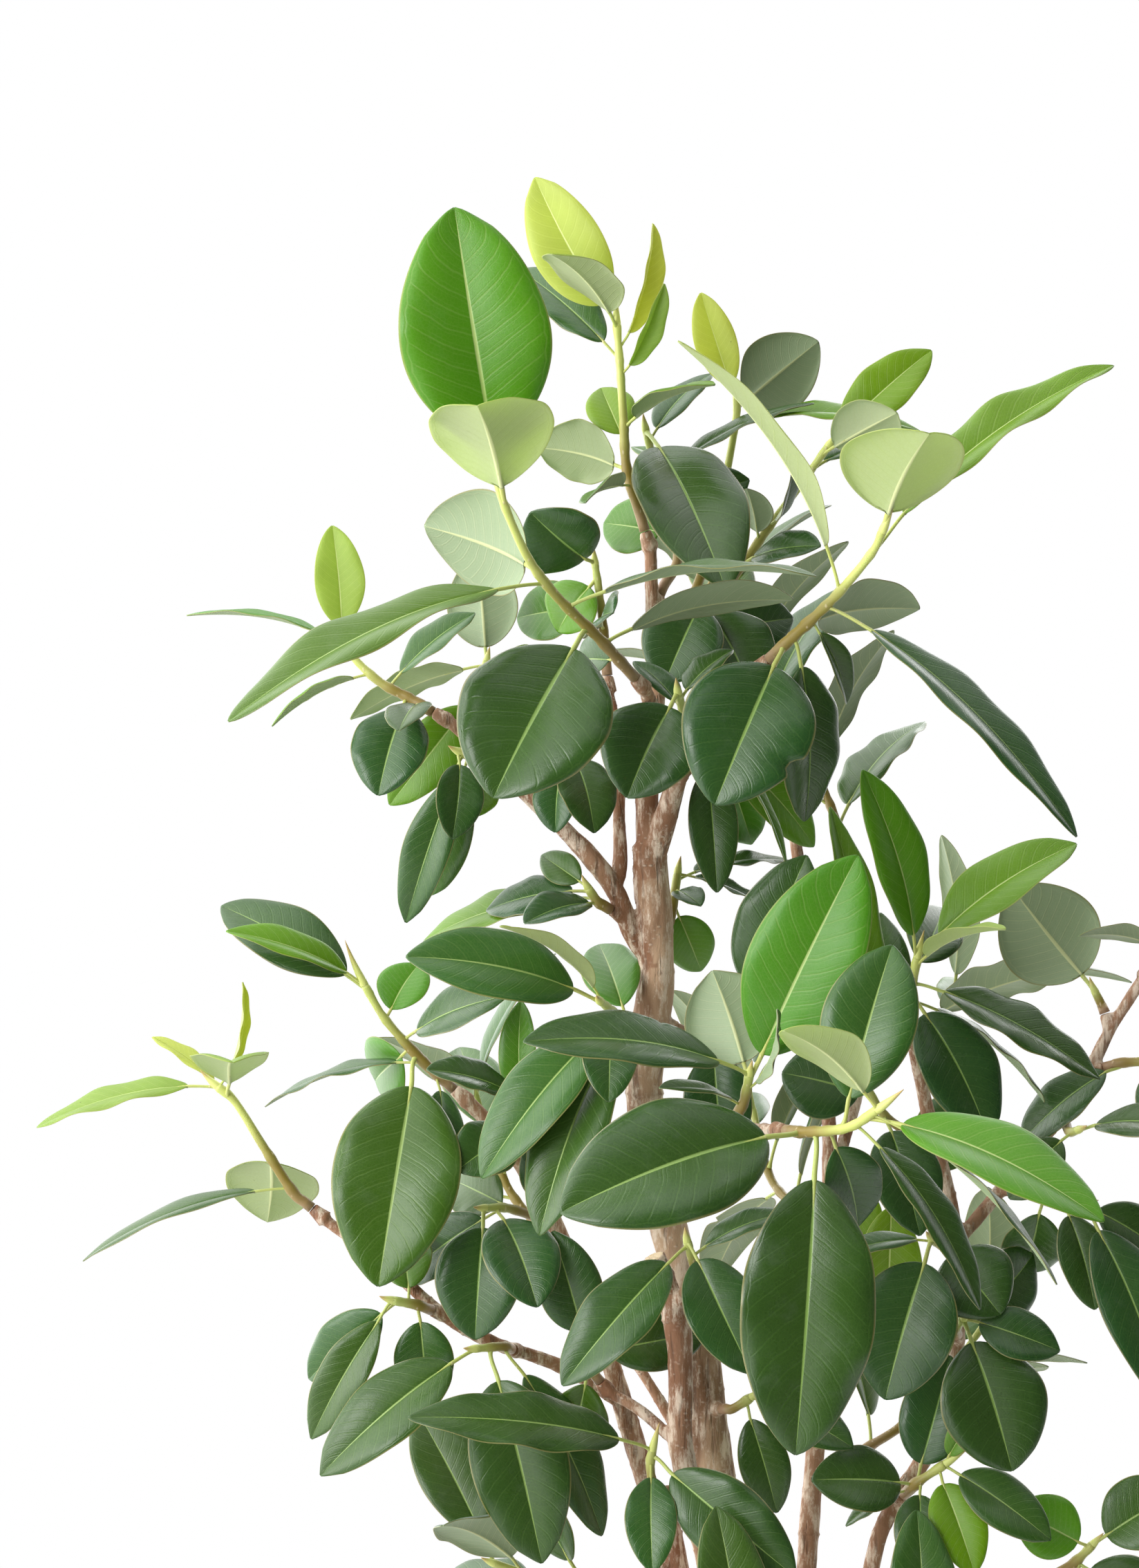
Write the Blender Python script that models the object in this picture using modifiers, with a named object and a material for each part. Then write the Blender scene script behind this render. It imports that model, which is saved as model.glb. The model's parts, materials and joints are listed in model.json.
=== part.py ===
"""Potted rusty fig (Ficus rubiginosa): plain pot, soil, woody stems and leafy shoots.

Frame: +Z up, -Y towards the front, origin at the centre of the pot's underside.
Stems and shoots are laid out in centimetres in planting rows. A row point is
(across, depth, height) as an eye in front of the plant sees it, and planted()
turns it into a true position. Every leafy shoot is one closed solid: its green
twig with the petioles and blades that grow on it.
"""
import math

import bmesh
import bpy
from mathutils import Matrix, Vector
from mathutils.bvhtree import BVHTree

# ---------------------------------------------------------------- driving dimensions (metres)
POT_TOP_DIAMETER = 0.240
POT_BASE_DIAMETER = 0.176
POT_HEIGHT = 0.220
POT_WALL = 0.0065
POT_FLOOR = 0.009
POT_FLOOR_CHAMFER = 0.006
POT_RIM_BAND_HEIGHT = 0.026
POT_RIM_BAND_PROUD = 0.003
DRAIN_HOLE_DIAMETER = 0.012
DRAIN_HOLE_CIRCLE = 0.080    # diameter of the ring that the drain holes lie on
DRAIN_HOLES = 4
POT_LIP_SHARE = 0.3          # of the wall, chamfered off the rim's outer edge
POT_BAND_TAPER = 0.001       # by which the band narrows to its foot
POT_BAND_UNDERCUT = 0.003    # height over which the band steps back to the wall
POT_FOOT_CHAMFER = 0.004
SOIL_BELOW_RIM = 0.028
SOIL_CROWN = 0.003           # how much the soil falls towards the wall
SOIL_FLAT_SHARE = 0.6        # of the soil's radius before it falls
PLANT_SCALE = 1.0            # the whole plant about its root collar
LEAF_SCALE = 1.0             # blade length and width
STEM_SCALE = 1.0             # thickness of stems and twigs
PETIOLE_RADIUS = 0.0012
BLADE_THICKNESS = 0.0014     # at the midrib
TWIG_RADIUS = 0.0024
TWIG_TIP_RADIUS = 0.0015
TWIG_STRAIGHT = 0.004        # a twig leaves its collar squarely over this length
SPUR_LENGTH = 0.0035         # woody collar under each shoot
COLLAR_FOOT_SHARE = 1.25     # a collar's radius at its foot and mouth, of the twig's
COLLAR_MOUTH_SHARE = 1.1
COLLAR_ROOT = 0.0015         # how far a collar starts inside its stem
LEAST_COLLAR_SINE = 0.6      # a collar that leans along its stem is no longer than this allows
GAP = 0.0003                 # between faces that meet
LEAF_CLEARANCE = 0.0011      # kept round every blade
LAST_LEAF_SHARE = 0.985      # the topmost leaf's foot, of the twig's length
RULE_LEAF_LENGTH = 0.095     # of the lowest leaf on a shoot that follows the rule
RULE_LEAF_WIDTH = 0.036
RULE_LEAF_SHORTENS = 0.018   # from the twig's foot to its tip
RULE_LEAF_NARROWS = 0.006
RULE_LEAF_FOLD = 12
RULE_FIRST_LEAF = 0.25       # the lowest leaf's foot, of the twig's length
RULE_YOUTH = 0.15

# ---------------------------------------------------------------- how rows are read
CM = 0.01
ROW_EYE = Vector((-5.3, -130.0, 84.0))     # where the rows are looked at from
ROW_POT_AXIS = 3.0                         # the pot's axis, across
ROW_SOIL_HEIGHT = 19.2                     # the root collar's height
POT_SIDES = 28
HOLE_SIDES = 12
LIMB_STEP = 0.045            # between the rings of a stem
AXIS_STEP = 0.01
TWIG_STEP = 0.03
LIMB_ROUNDNESS = 1
TWIG_ROUNDNESS = 0
SOIL_TOP = POT_HEIGHT - SOIL_BELOW_RIM

# Stems: limbs of (row points, first radius, last radius) in centimetres.
# A limb after the first one starts inside the limb that carries it.
STEMS = {
    "main_stem": [
        ([(2.9, 1.6, 13.5), (2.85, 1.6, 24), (2.2, 1.6, 38), (1.5, 1.5, 50), (0.8, 1.5, 55.1),
          (0.1, 1.3, 60.5),
          (-1.3, 1.0, 66), (-2.05, 0.7, 70.7), (-1.55, 0.4, 76), (-1.85, 0.2, 81.4)], 1.15, 0.76),
        ([(-1.85, 0.2, 80.4), (-1.95, 0.1, 84.4), (-1.5, 0.8, 88), (-1.7, 0.9, 91.5),
          (-1.8, 0.6, 94.2)], 0.55, 0.26),
        ([(-1.8, 0.2, 80.2), (-1.0, -0.7, 83), (-0.4, -1.6, 84.9), (1.0, -4.2, 87.2),
          (2.8, -7, 88.9)], 0.52, 0.28),
        ([(-1.9, 0.1, 84.2), (-1.5, -3, 86.2), (-2.0, -6.4, 88.1)], 0.38, 0.27),
        ([(-1.6, 0.4, 76.2), (-2.5, 0.3, 77.4), (-3.6, -0.2, 79.8), (-5.5, -0.5, 82), (-7.4, -0.7, 83.8),
          (-9, -0.5, 85.3), (-10.5, -0.3, 86.7)], 0.46, 0.28),
        ([(-3.4, -0.1, 79.4), (-3.1, 0.3, 80.6), (-3.15, 0.6, 82.8), (-3.1, 1.4, 85.4),
          (-3.6, 2.4, 88)], 0.32, 0.22),
        ([(-1.75, 0.8, 67.4), (-0.6, -2, 68.2), (1.6, -6, 68.9), (3.6, -9, 69.0)], 0.36, 0.26),
    ],
    "front_stem": [
        ([(3.8, -2.6, 13.5), (3.7, -2.6, 26), (2.2, -2.7, 42), (0.8, -2.6, 50), (-0.06, -2.5, 53.4),
          (-0.5, -2.4, 55.4), (-0.5, -2.3, 57.6), (-0.6, -2.3, 60.2), (-1.1, -2.4, 62.2), (-1.65, -2.6, 63.5)],
         0.78, 0.5),
        ([(-0.4, -2.4, 55.2), (-2.2, -1.5, 56.8), (-3.6, -1.0, 57.6)], 0.26, 0.22),
    ],
    "left_stem": [
        ([(1.0, 3.4, 13.5), (0.8, 3.4, 26), (0.1, 3.2, 42), (-0.75, 3.0, 50.7), (-1.8, 2.8, 53.4),
          (-2.8, 2.6, 56.5), (-3.9, 2.4, 60), (-6, 1.8, 65), (-8.2, 1.2, 68.6), (-9.7, 0.8, 70.2)], 0.85, 0.3),
        ([(-3.0, 2.5, 57.2), (-5.0, 1.5, 58.4), (-6.6, 0.6, 59.1), (-8.7, 0, 59.8), (-10.8, -0.2, 61.0),
          (-13, 0.3, 62.9), (-15.9, 0.4, 65.1)], 0.34, 0.24),
    ],
    "right_stem": [
        ([(5.4, 0.8, 13.5), (5.6, 0.9, 26), (6.8, 0.8, 42), (7.8, 0.6, 50), (8.8, 0.4, 52.8), (10.2, 0.6, 55),
          (11.3, 1.0, 58), (11.55, 1.0, 61), (11.4, 0.9, 65), (10.2, 0.3, 70), (9.5, -1, 73.4)], 0.55, 0.28),
        ([(11.4, 0.9, 64), (13.5, 1.6, 66.5), (16.6, 1.0, 70.4), (18.2, 0.8, 73.4),
          (19.6, 0.6, 75.6)], 0.3, 0.25),
        ([(7.2, 0.7, 45.0), (11, 0.2, 47.4), (15, -0.3, 49.2)], 0.32, 0.25),
    ],
    "back_stem": [
        ([(3.6, 5.0, 13.5), (3.9, 5.4, 30), (5.0, 7.5, 50), (6.0, 9, 68), (4.2, 10, 84)], 0.62, 0.28),
        ([(4.6, 6.6, 45), (0.5, 9, 54), (-5, 11, 63)], 0.32, 0.24),
        ([(5.9, 8.8, 66), (7.6, 10.6, 73), (7.0, 11.2, 80)], 0.3, 0.24),
    ],
}

# Which way a leaf's upper side faces.
FRONT = (0, -1, 0.2)
FRONT_UP = (0, -0.7, 0.7)
LEFT = (-0.6, -0.8, 0.2)
RIGHT = (0.6, -0.8, 0.2)
UP = (0, -0.25, 1)
AWAY = (0, 1, 0.4)

# Shoots: stem that carries it, twig's row points, and leaves of
# (how far up the twig 0-1, tip's row point, blade width in cm, facing, fold in degrees, youth 0-1).
SHOOTS = {
    "top_shoot": ("main_stem", [(-1.8, 0.6, 94.2), (-2.8, 0.3, 97.6), (-2.95, 0, 99.7), (-3.1, -0.3, 102),
                                (-3.25, -0.5, 104)], [
        (1.0, (-6.8, -1.5, 110.3), 3.3, (-0.3, -1, 0.1), 18, 0.95),
        (0.97, (-7.1, -5, 107.6), 3.2, (0.3, 0.2, 1), 12, 0.65),
        (0.86, (-1.7, 0.4, 108.3), 1.8, (0.8, -0.6, 0), 40, 0.9),
        (0.74, (-1.2, -1.4, 105.7), 1.5, (0.6, -0.8, 0), 45, 0.8),
        (0.82, (-7.5, 3, 106.3), 2.4, (-0.3, -0.6, 0.8), 15, 0.1),
        (0.50, (1.0, -3.2, 101.3), 2.9, UP, 15, 0.5),
        (0.42, (-4.0, 1.8, 101.4), 2.2, FRONT, 15, 0.65),
        (0.30, (-6.7, 1.2, 98.6), 3.4, (0.1, 0.8, 0.7), 10, 0.55),
        (0.22, (-4.6, -3.5, 96.2), 2.0, (-0.5, 0.2, 1), 14, 0.2)]),
    "top_inner_shoot": ("main_stem", [(-1.7, 0.9, 91.8), (-0.6, 2.4, 94.0), (-1.4, 2.4, 97),
                                      (-2.0, 2.2, 99.4)], [
        (0.98, (1.5, -4.6, 92.4), 4.8, (0.2, -1, 0.3), 14, 0.0),
        (0.92, (0.9, 4.4, 101.8), 2.0, UP, 10, 0.1),
        (0.70, (5.3, 3.4, 100.5), 2.0, UP, 10, 0.05),
        (0.55, (2.5, 1.6, 97.2), 2.4, RIGHT, 12, 0.0),
        (0.40, (-3.8, 4.6, 95.3), 2.6, LEFT, 12, 0.3)]),
    "upper_right_shoot": ("main_stem", [(-1.6, 0.9, 89.8), (0.2, 3.4, 92.5), (1.2, 4.2, 96), (1.9, 4.2, 99.6),
                                        (1.95, 4.1, 100.8)], [
        (1.0, (0.4, 3.0, 105.3), 2.0, (-0.2, -1, 0), 22, 0.9),
        (0.95, (5.5, 6.0, 103.2), 3.6, (0.2, 0.9, 0.4), 8, 0.05),
        (0.9, (9.9, 3.6, 99.3), 2.6, (0, -0.4, 1), 14, 0.35),
        (0.6, (-2.6, 7.0, 98.6), 2.6, UP, 10, 0.2)]),
    "right_top_shoot": ("main_stem", [(-1.55, 0.8, 88.9), (1.4, 1.8, 92.4), (3.4, 2.0, 95.2),
                                      (4.6, 2.0, 96.8),
                                      (5.95, 1.8, 98.7)], [
        (1.0, (10.4, 1.6, 102.8), 2.5, (-0.3, -1, 0.2), 14, 0.6),
        (0.95, (8.9, -2.2, 100.1), 2.8, (0.2, 0.9, 0.5), 8, 0.55),
        (0.88, (9.4, 6.0, 98.6), 2.4, UP, 8, 0.1),
        (0.55, (2.4, 0.0, 96.8), 1.8, UP, 12, 0.05),
        (0.45, (5.6, -0.8, 94.3), 2.4, FRONT_UP, 10, 0.0),
        (0.62, (4.4, -1.2, 97.9), 1.2, RIGHT, 20, 0.05)]),
    "near_left_shoot": ("main_stem", [(-2.0, -6.4, 88.1), (-4.0, -8.5, 90.3), (-6.0, -10.3, 92.3),
                                      (-7.2, -11.4, 94), (-8.2, -12.4, 96.3), (-8.5, -12.6, 97.4)], [
        (1.0, (-10.3, -14, 109.0), 6.0, (0.1, -1, 0), 12, 0.5),
        (0.88, (-9.3, -17.0, 100.4), 5.4, (0, 0.6, 0.8), 26, 0.85),
        (0.60, (-11.6, -8, 95.2), 4.6, (0.2, 0.9, 0.5), 8, 0.05),
        (0.55, (-20.1, -17, 86.7), 3.2, (0, -0.45, 1), 12, 0.25),
        (0.42, (5.4, -11.5, 93.0), 3.2, (0.1, -0.15, 1), 14, 0.1),
        (0.30, (-8.6, -12.5, 83.4), 6.3, (-0.1, -1, 0.4), 10, 0.0),
        (0.20, (4.4, -5.6, 92.0), 3.2, (0.2, 0.5, 1), 12, 0.05),
        (0.10, (-4.9, -4.6, 89.4), 2.0, LEFT, 16, 0.1)]),
    "near_right_shoot": ("main_stem", [(2.8, -7, 88.9), (6.1, -10, 92), (7.8, -11.6, 94),
                                       (8.3, -12.2, 95.0)], [
        (1.0, (10.3, -16.2, 99.2), 5.4, (-0.1, 0.7, 0.7), 24, 0.85),
        (0.85, (19.3, -15, 102.9), 2.8, (-0.4, -0.6, 0.7), 22, 0.45),
        (0.58, (-0.6, -14.5, 103.2), 2.6, (0.9, 0.1, 0.4), 30, 0.75),
        (0.12, (1.0, -10.6, 83.1), 5.4, (0, -1, 0.3), 8, 0.0),
        (0.46, (16.7, -13, 81.7), 2.9, (0.3, -0.5, 0.8), 12, 0.05),
        (0.20, (4.9, -6.0, 82.4), 3.4, RIGHT, 10, 0.0),
        (0.34, (6.7, -7.0, 87.5), 1.5, RIGHT, 30, 0.1),
        (0.30, (9.9, -5.5, 91.6), 2.9, (0.1, 0.8, 0.6), 10, 0.05)]),
    "fork_front_shoot": ("main_stem", [(0.2, -2.9, 86.2), (0.0, -5.2, 85.6), (-0.6, -7.0, 88.0)], [
        (1.0, (-2.8, -8.4, 83.4), 4.2, (-0.1, -1, 0.3), 12, 0.0),
        (0.75, (-2.5, -4.4, 89.3), 1.6, UP, 14, 0.05),
        (0.9, (1.8, -6.2, 89.8), 2.2, UP, 14, 0.1)]),
    "crown_low_shoot": ("main_stem", [(-1.5, 0.8, 87.6), (0.0, 0.2, 90.2), (0.6, -0.6, 92.2)], [
        (1.0, (-1.2, -2.6, 88.3), 3.6, (-0.1, -1, 0.4), 12, 0.0),
        (0.9, (2.6, -2.4, 88.0), 3.8, (0.2, -1, 0.4), 12, 0.0),
        (0.5, (4.4, 2.4, 91.2), 2.6, RIGHT, 12, 0.05)]),
    "crown_left_shoot": ("main_stem", [(-3.6, 2.4, 88), (-3.9, 2.9, 91.4), (-4.2, 2.8, 93.6)], [
        (1.0, (-7.0, 0.6, 95.8), 3.8, LEFT, 10, 0.0),
        (0.85, (-5.8, 3.0, 90.6), 3.2, LEFT, 10, 0.35),
        (0.6, (-7.8, 4.6, 91.2), 2.8, LEFT, 10, 0.25),
        (0.4, (-3.4, -1.2, 91.9), 2.6, FRONT, 12, 0.0)]),
    "left_shoot": ("main_stem", [(-10.5, -0.3, 86.7), (-12.4, 0, 87.8), (-13.5, 0, 88.4), (-14.5, 0, 89.3),
                                 (-15.2, 0, 90.2)], [
        (1.0, (-15.6, -0.6, 95.2), 2.3, (0.2, -1, 0), 20, 0.8),
        (0.95, (-21.9, 1.2, 91.3), 2.0, (0, -0.1, 1), 14, 0.3),
        (0.62, (-18.2, -1, 86.5), 2.0, (0, 0.2, 1), 14, 0.5),
        (0.42, (-9.4, 0.6, 91.4), 2.1, (-0.5, -0.6, 0.5), 14, 0.15),
        (0.25, (-13.6, -2.2, 83.5), 3.4, (-0.1, -1, 0.4), 10, 0.1),
        (0.12, (-12.7, -4.2, 86.3), 2.0, (0, 0.3, 1), 12, 0.05)]),
    "left_back_shoot": ("main_stem", [(-9.0, -0.5, 85.3), (-9.2, 1.6, 87.4), (-8.9, 2.2, 89.3)], [
        (0.95, (-14.8, 3.4, 86.8), 2.2, (0, 0.5, 1), 12, 0.45),
        (1.0, (-9.3, 3.4, 94.0), 3.2, AWAY, 10, 0.1),
        (0.7, (-13.1, 2.4, 83.1), 2.6, FRONT, 10, 0.4),
        (0.85, (-5.8, 5.0, 88.4), 3.0, FRONT, 10, 0.5)]),
    "limb_hanging_shoot": ("main_stem", [(-8.2, -0.6, 84.6), (-9.3, -2.0, 85.1), (-10.1, -2.6, 85.4)], [
        (1.0, (-10.4, -3.4, 81.6), 2.2, (0.4, -1, 0.2), 16, 0.0),
        (0.85, (-12.4, -1.6, 78.0), 2.2, (-0.2, -1, 0.2), 18, 0.15),
        (0.7, (-11.3, 0.6, 79.2), 2.3, FRONT, 14, 0.15),
        (0.4, (-9.6, -0.8, 82.4), 2.0, (0.3, -1, 0.4), 14, 0.35)]),
    "limb_top_shoot": ("main_stem", [(-6.2, -0.6, 82.7), (-5.9, -1.8, 84.6), (-5.3, -2.2, 85.6)], [
        (0.8, (-5.9, -3.2, 81.9), 2.1, (-0.3, -1, 0.2), 16, 0.0),
        (1.0, (-4.1, -2.6, 81.4), 2.7, (0.4, -1, 0.2), 12, 0.0),
        (0.9, (-8.2, 1.0, 87.8), 3.2, FRONT_UP, 12, 0.1)]),
    "limb_under_shoot": ("main_stem", [(-3.0, 0.1, 78.4), (-4.1, -0.9, 78.9), (-4.5, -1.2, 79.5)], [
        (0.85, (-8.9, 0.4, 78.5), 2.6, (0, -0.7, 0.9), 8, 0.05),
        (0.35, (-7.5, -2.8, 77.9), 2.3, (0, -0.6, 1), 16, 0.0),
        (0.6, (-11.6, 3.0, 77.2), 2.6, (0, -0.6, 0.8), 10, 0.4),
        (1.0, (-6.5, 0.6, 80.9), 1.5, FRONT, 12, 0.15)]),
    "middle_left_shoot": ("main_stem", [(-2.0, 0.7, 72.6), (-3.0, -3.2, 73.8), (-4.0, -6.4, 74.6)], [
        (1.0, (-12.4, -8.5, 76.5), 3.7, (0, -0.8, 0.7), 10, 0.15),
        (0.85, (-8.3, -10.8, 77.8), 1.8, (0.3, 0.2, 1), 24, 0.7),
        (0.55, (-9.1, -6.2, 66.9), 3.4, (-0.3, -0.8, 0.6), 14, 0.15),
        (0.7, (-3.6, -7.4, 70.2), 2.4, FRONT, 12, 0.1),
        (0.4, (-6.6, -7.2, 64.4), 3.4, (-0.4, -0.9, 0.3), 12, 0.1),
        (0.3, (-2.2, 3.2, 78.0), 2.6, FRONT, 10, 0.3)]),
    "front_shoot": ("main_stem", [(1.6, -6, 68.9), (2.3, -7.2, 70.3), (2.5, -7.9, 71.4)], [
        (1.0, (-7.3, -11.5, 72.8), 3.7, (0, -0.5, 0.8), 10, 0.05),
        (0.9, (0.9, -6.2, 75.9), 4.0, AWAY, 8, 0.05),
        (0.6, (3.7, -11.5, 74.2), 1.4, (1, -0.2, 0), 12, 0.0),
        (0.7, (7.2, -9.0, 80.9), 4.6, (-0.2, -1, 0), 10, 0.5),
        (0.3, (-1.4, -9.0, 70.8), 1.8, UP, 12, 0.15)]),
    "near_front_shoot": ("main_stem", [(3.6, -9, 69.0), (5.0, -11, 68.9), (6.8, -13, 69.1),
                                       (8.1, -14.2, 69.9)], [
        (1.0, (4.0, -18, 73.3), 2.8, (-0.5, -0.3, 0.8), 22, 0.85),
        (0.62, (8.7, -11.2, 77.0), 3.8, (-0.2, -1, 0.1), 10, 0.15),
        (0.85, (17.9, -17.5, 65.0), 3.7, (0.2, -0.6, 0.8), 12, 0.4),
        (0.75, (12.5, -14.6, 61.2), 2.4, (0.8, -0.6, 0.2), 14, 0.05),
        (0.92, (15.1, -20, 62.9), 2.0, (0.5, 0.1, 1), 10, 0.15),
        (0.34, (4.5, -14, 54.9), 5.4, (0.1, -1, 0.2), 10, 0.0),
        (0.18, (-5.7, -14.5, 65.4), 5.6, (-0.1, -0.9, 0.6), 10, 0.05),
        (0.48, (7.2, -9.5, 64.8), 2.8, (0.2, -1, 0.3), 10, 0.0)]),
    "right_shoot": ("right_stem", [(9.5, -1, 73.4), (9.5, -2.6, 75.0), (9.8, -3, 76.5)], [
        (1.0, (16.7, -2.6, 81.4), 3.1, (-0.3, -0.7, 0.7), 16, 0.4),
        (0.85, (13.9, -7, 77.9), 2.0, (0.1, -0.3, 1), 24, 0.85),
        (0.6, (17.7, -4, 71.2), 2.8, (0, -0.6, 1), 10, 0.0),
        (0.45, (12.9, -4.2, 68.6), 3.5, (0.3, -1, 0.2), 10, 0.0),
        (0.9, (7.4, -5, 84.6), 2.7, (0.5, -0.9, 0), 16, 0.4),
        (0.7, (10.9, 1.6, 78.6), 2.6, FRONT, 10, 0.0),
        (0.3, (15.3, 0.4, 70.2), 2.4, UP, 10, 0.05)]),
    "right_inner_shoot": ("right_stem", [(10.6, 0.4, 68.4), (8.4, -1.4, 69.6), (7.4, -2.0, 71.2)], [
        (1.0, (8.2, 0.6, 78.4), 3.2, FRONT, 10, 0.05),
        (0.8, (4.0, -2.2, 71.4), 3.4, (-0.2, -1, 0.3), 12, 0.05),
        (0.6, (9.9, -3.6, 64.4), 3.2, (0.2, -1, 0.3), 12, 0.0),
        (0.9, (5.8, 2.4, 82.3), 2.2, (0.5, -0.9, 0), 24, 0.3)]),
    "fork_right_shoot": ("main_stem", [(-0.7, -1.1, 84.0), (0.4, 0.6, 85.2), (0.9, 1.2, 86.2)], [
        (0.7, (1.1, -0.4, 79.3), 2.2, (0.1, -1, 0.2), 12, 0.0),
        (0.9, (5.3, 3.4, 81.3), 2.4, (-0.1, -0.9, 0.5), 10, 0.35),
        (1.0, (2.6, 5.4, 81.4), 2.4, FRONT, 10, 0.3),
        (0.95, (4.1, 0.8, 80.3), 1.2, (0.9, -0.4, 0.2), 20, 0.3)]),
    "trunk_twig_shoot": ("main_stem", [(-1.6, 0.4, 76.6), (-0.9, 2.0, 78.2), (-0.6, 2.2, 80.2)], [
        (0.95, (3.6, 2.2, 78.3), 1.6, UP, 12, 0.05),
        (0.7, (0.4, 0.0, 78.7), 1.4, (0, -0.6, 0.8), 14, 0.05),
        (0.5, (0.4, 4.4, 75.9), 2.2, FRONT, 10, 0.35),
        (0.85, (4.4, 5.2, 79.9), 2.2, UP, 10, 0.05)]),
    "trunk_side_shoot": ("main_stem", [(-1.8, 0.6, 73.4), (0.4, 1.0, 73.0), (2.4, 0.6, 73.9)], [
        (1.0, (5.0, -0.4, 80.9), 3.8, (-0.4, -1, 0.1), 10, 0.0),
        (0.8, (5.4, 3.0, 74.4), 3.0, FRONT_UP, 10, 0.05),
        (0.5, (1.4, -0.6, 67.6), 3.0, FRONT, 10, 0.05)]),
    "mid_left_shoot": ("left_stem", [(-9.7, 0.8, 70.2), (-11.6, 0.4, 71.9), (-13.3, 0, 73.8),
                                     (-14.2, -0.2, 75.3)], [
        (0.36, (-13.6, -4.2, 62.2), 5.5, (0, -1, 0.2), 9, 0.15),
        (1.0, (-20.2, -1.4, 77.6), 2.3, (0.1, -0.5, 0.9), 18, 0.5),
        (0.93, (-20.4, 2.4, 78.7), 3.1, (0, -0.8, 0.6), 10, 0.0),
        (0.7, (-11.8, 1.6, 76.2), 2.4, (-0.3, -1, 0.2), 12, 0.4),
        (0.28, (-18.5, 2.6, 70.0), 2.0, (0, -0.2, 1), 10, 0.1),
        (0.42, (-14.4, 4.0, 70.4), 3.2, (0, -1, 0.2), 8, 0.35),
        (0.5, (-8.0, -2.2, 74.8), 2.6, (0, -0.7, 0.7), 12, 0.1),
        (0.15, (-10.8, -1.8, 66.4), 1.8, (0.2, -0.5, 0.6), 12, 0.1)]),
    "mid_left_inner_shoot": ("left_stem", [(-7.6, 1.4, 67.6), (-7.4, -0.6, 69.0), (-7.2, -1.6, 70.2)], [
        (1.0, (-11.5, -3.4, 71.6), 2.3, (0, -0.6, 0.9), 14, 0.0),
        (0.9, (-4.4, -1.8, 72.0), 2.3, (0, -0.6, 0.9), 12, 0.0),
        (0.7, (-7.4, -0.6, 74.6), 1.8, (-0.3, -1, 0.2), 20, 0.3),
        (0.45, (-10.2, -2.8, 67.2), 2.8, (-0.2, -1, 0.3), 12, 0.0),
        (0.6, (-5.3, 1.8, 66.0), 3.0, FRONT, 12, 0.05)]),
    "left_low_shoot": ("left_stem", [(-6.2, 1.7, 65.2), (-8.0, -0.4, 65.6), (-9.0, -1.2, 65.6)], [
        (1.0, (-9.4, -2.6, 59.9), 3.8, (-0.1, -1, 0.3), 12, 0.0),
        (0.8, (-6.7, -4.2, 61.3), 3.4, (0.2, -0.9, 0.5), 12, 0.1),
        (0.5, (-10.3, 3.4, 66.8), 2.6, FRONT, 10, 0.15),
        (0.7, (-12.6, 2.6, 62.4), 2.4, LEFT, 10, 0.1)]),
    "far_left_shoot": ("left_stem", [(-15.9, 0.4, 65.1), (-17.3, 0.3, 66.3), (-18.6, 0.2, 68.3),
                                     (-19.8, 0.1, 70.2),
                                     (-20.6, 0, 70.9)], [
        (1.0, (-28.4, 0.4, 69.1), 2.3, (0, -0.35, 1), 10, 0.75),
        (0.97, (-19.5, -0.4, 75.4), 1.2, (1, -0.2, 0), 26, 0.75),
        (0.9, (-19.9, -7.6, 71.9), 3.4, (0, 0, 1), 14, 0.7),
        (0.42, (-18.4, 4.4, 65.0), 4.2, (0, 0.9, 0.2), 8, 0.65),
        (0.18, (-26.4, 0.4, 63.3), 2.0, (0, -0.2, 1), 10, 0.1),
        (0.94, (-23.4, 1.8, 73.0), 1.0, (0, -0.4, 0.9), 20, 0.9)]),
    "lower_left_shoot": ("left_stem", [(-10.8, -0.2, 61.0), (-11.9, -1.4, 61.4), (-13.0, -1.8, 61.6)], [
        (1.0, (-16.5, -2.2, 55.6), 2.2, (-0.2, -1, 0.3), 14, 0.15),
        (0.85, (-16.6, 0.2, 58.2), 2.6, (-0.1, -1, 0.4), 10, 0.15),
        (0.4, (-11.4, -0.8, 57.2), 2.6, FRONT, 10, 0.1),
        (0.6, (-12.4, 2.0, 64.6), 2.4, FRONT, 10, 0.2)]),
    "lower_left_inner_shoot": ("left_stem", [(-7.2, 0.4, 59.3), (-8.2, -1.6, 59.6), (-9.4, -2.4, 59.5)], [
        (1.0, (-16.1, -4.4, 54.0), 3.3, (-0.2, -0.8, 0.6), 10, 0.15),
        (0.7, (-6.5, -3.6, 50.2), 4.2, (0, -1, 0.2), 10, 0.1),
        (0.4, (-3.9, -0.8, 51.4), 2.8, RIGHT, 10, 0.15)]),
    "front_spur_shoot": ("front_stem", [(-0.1, -2.5, 53.3), (-1.6, -3.4, 53.3), (-1.8, -3.8, 54.4),
                                        (-1.7, -4, 55.1)], [
        (1.0, (-12.3, -7.2, 56.5), 2.9, (0, -0.7, 0.8), 8, 0.1),
        (0.9, (4.5, -6.4, 49.6), 3.3, (-0.2, -1, 0.3), 8, 0.05),
        (0.8, (-1.7, -6.4, 49.8), 2.2, FRONT, 10, 0.1)]),
    "front_top_shoot": ("front_stem", [(-0.9, -2.4, 61.4), (0.2, -3.6, 62.6), (-0.2, -4.6, 64.2)], [
        (1.0, (2.6, -6.4, 58.4), 3.1, (0.1, -1, 0.3), 12, 0.05),
        (0.9, (-5.6, -7.2, 57.9), 3.1, (-0.3, -0.9, 0.5), 12, 0.1),
        (0.7, (4.4, -4.0, 65.4), 2.4, UP, 10, 0.1)]),
    "front_side_shoot": ("front_stem", [(-3.6, -1.0, 57.6), (-4.4, -1.4, 58.6), (-4.6, -1.6, 59.6)], [
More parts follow.
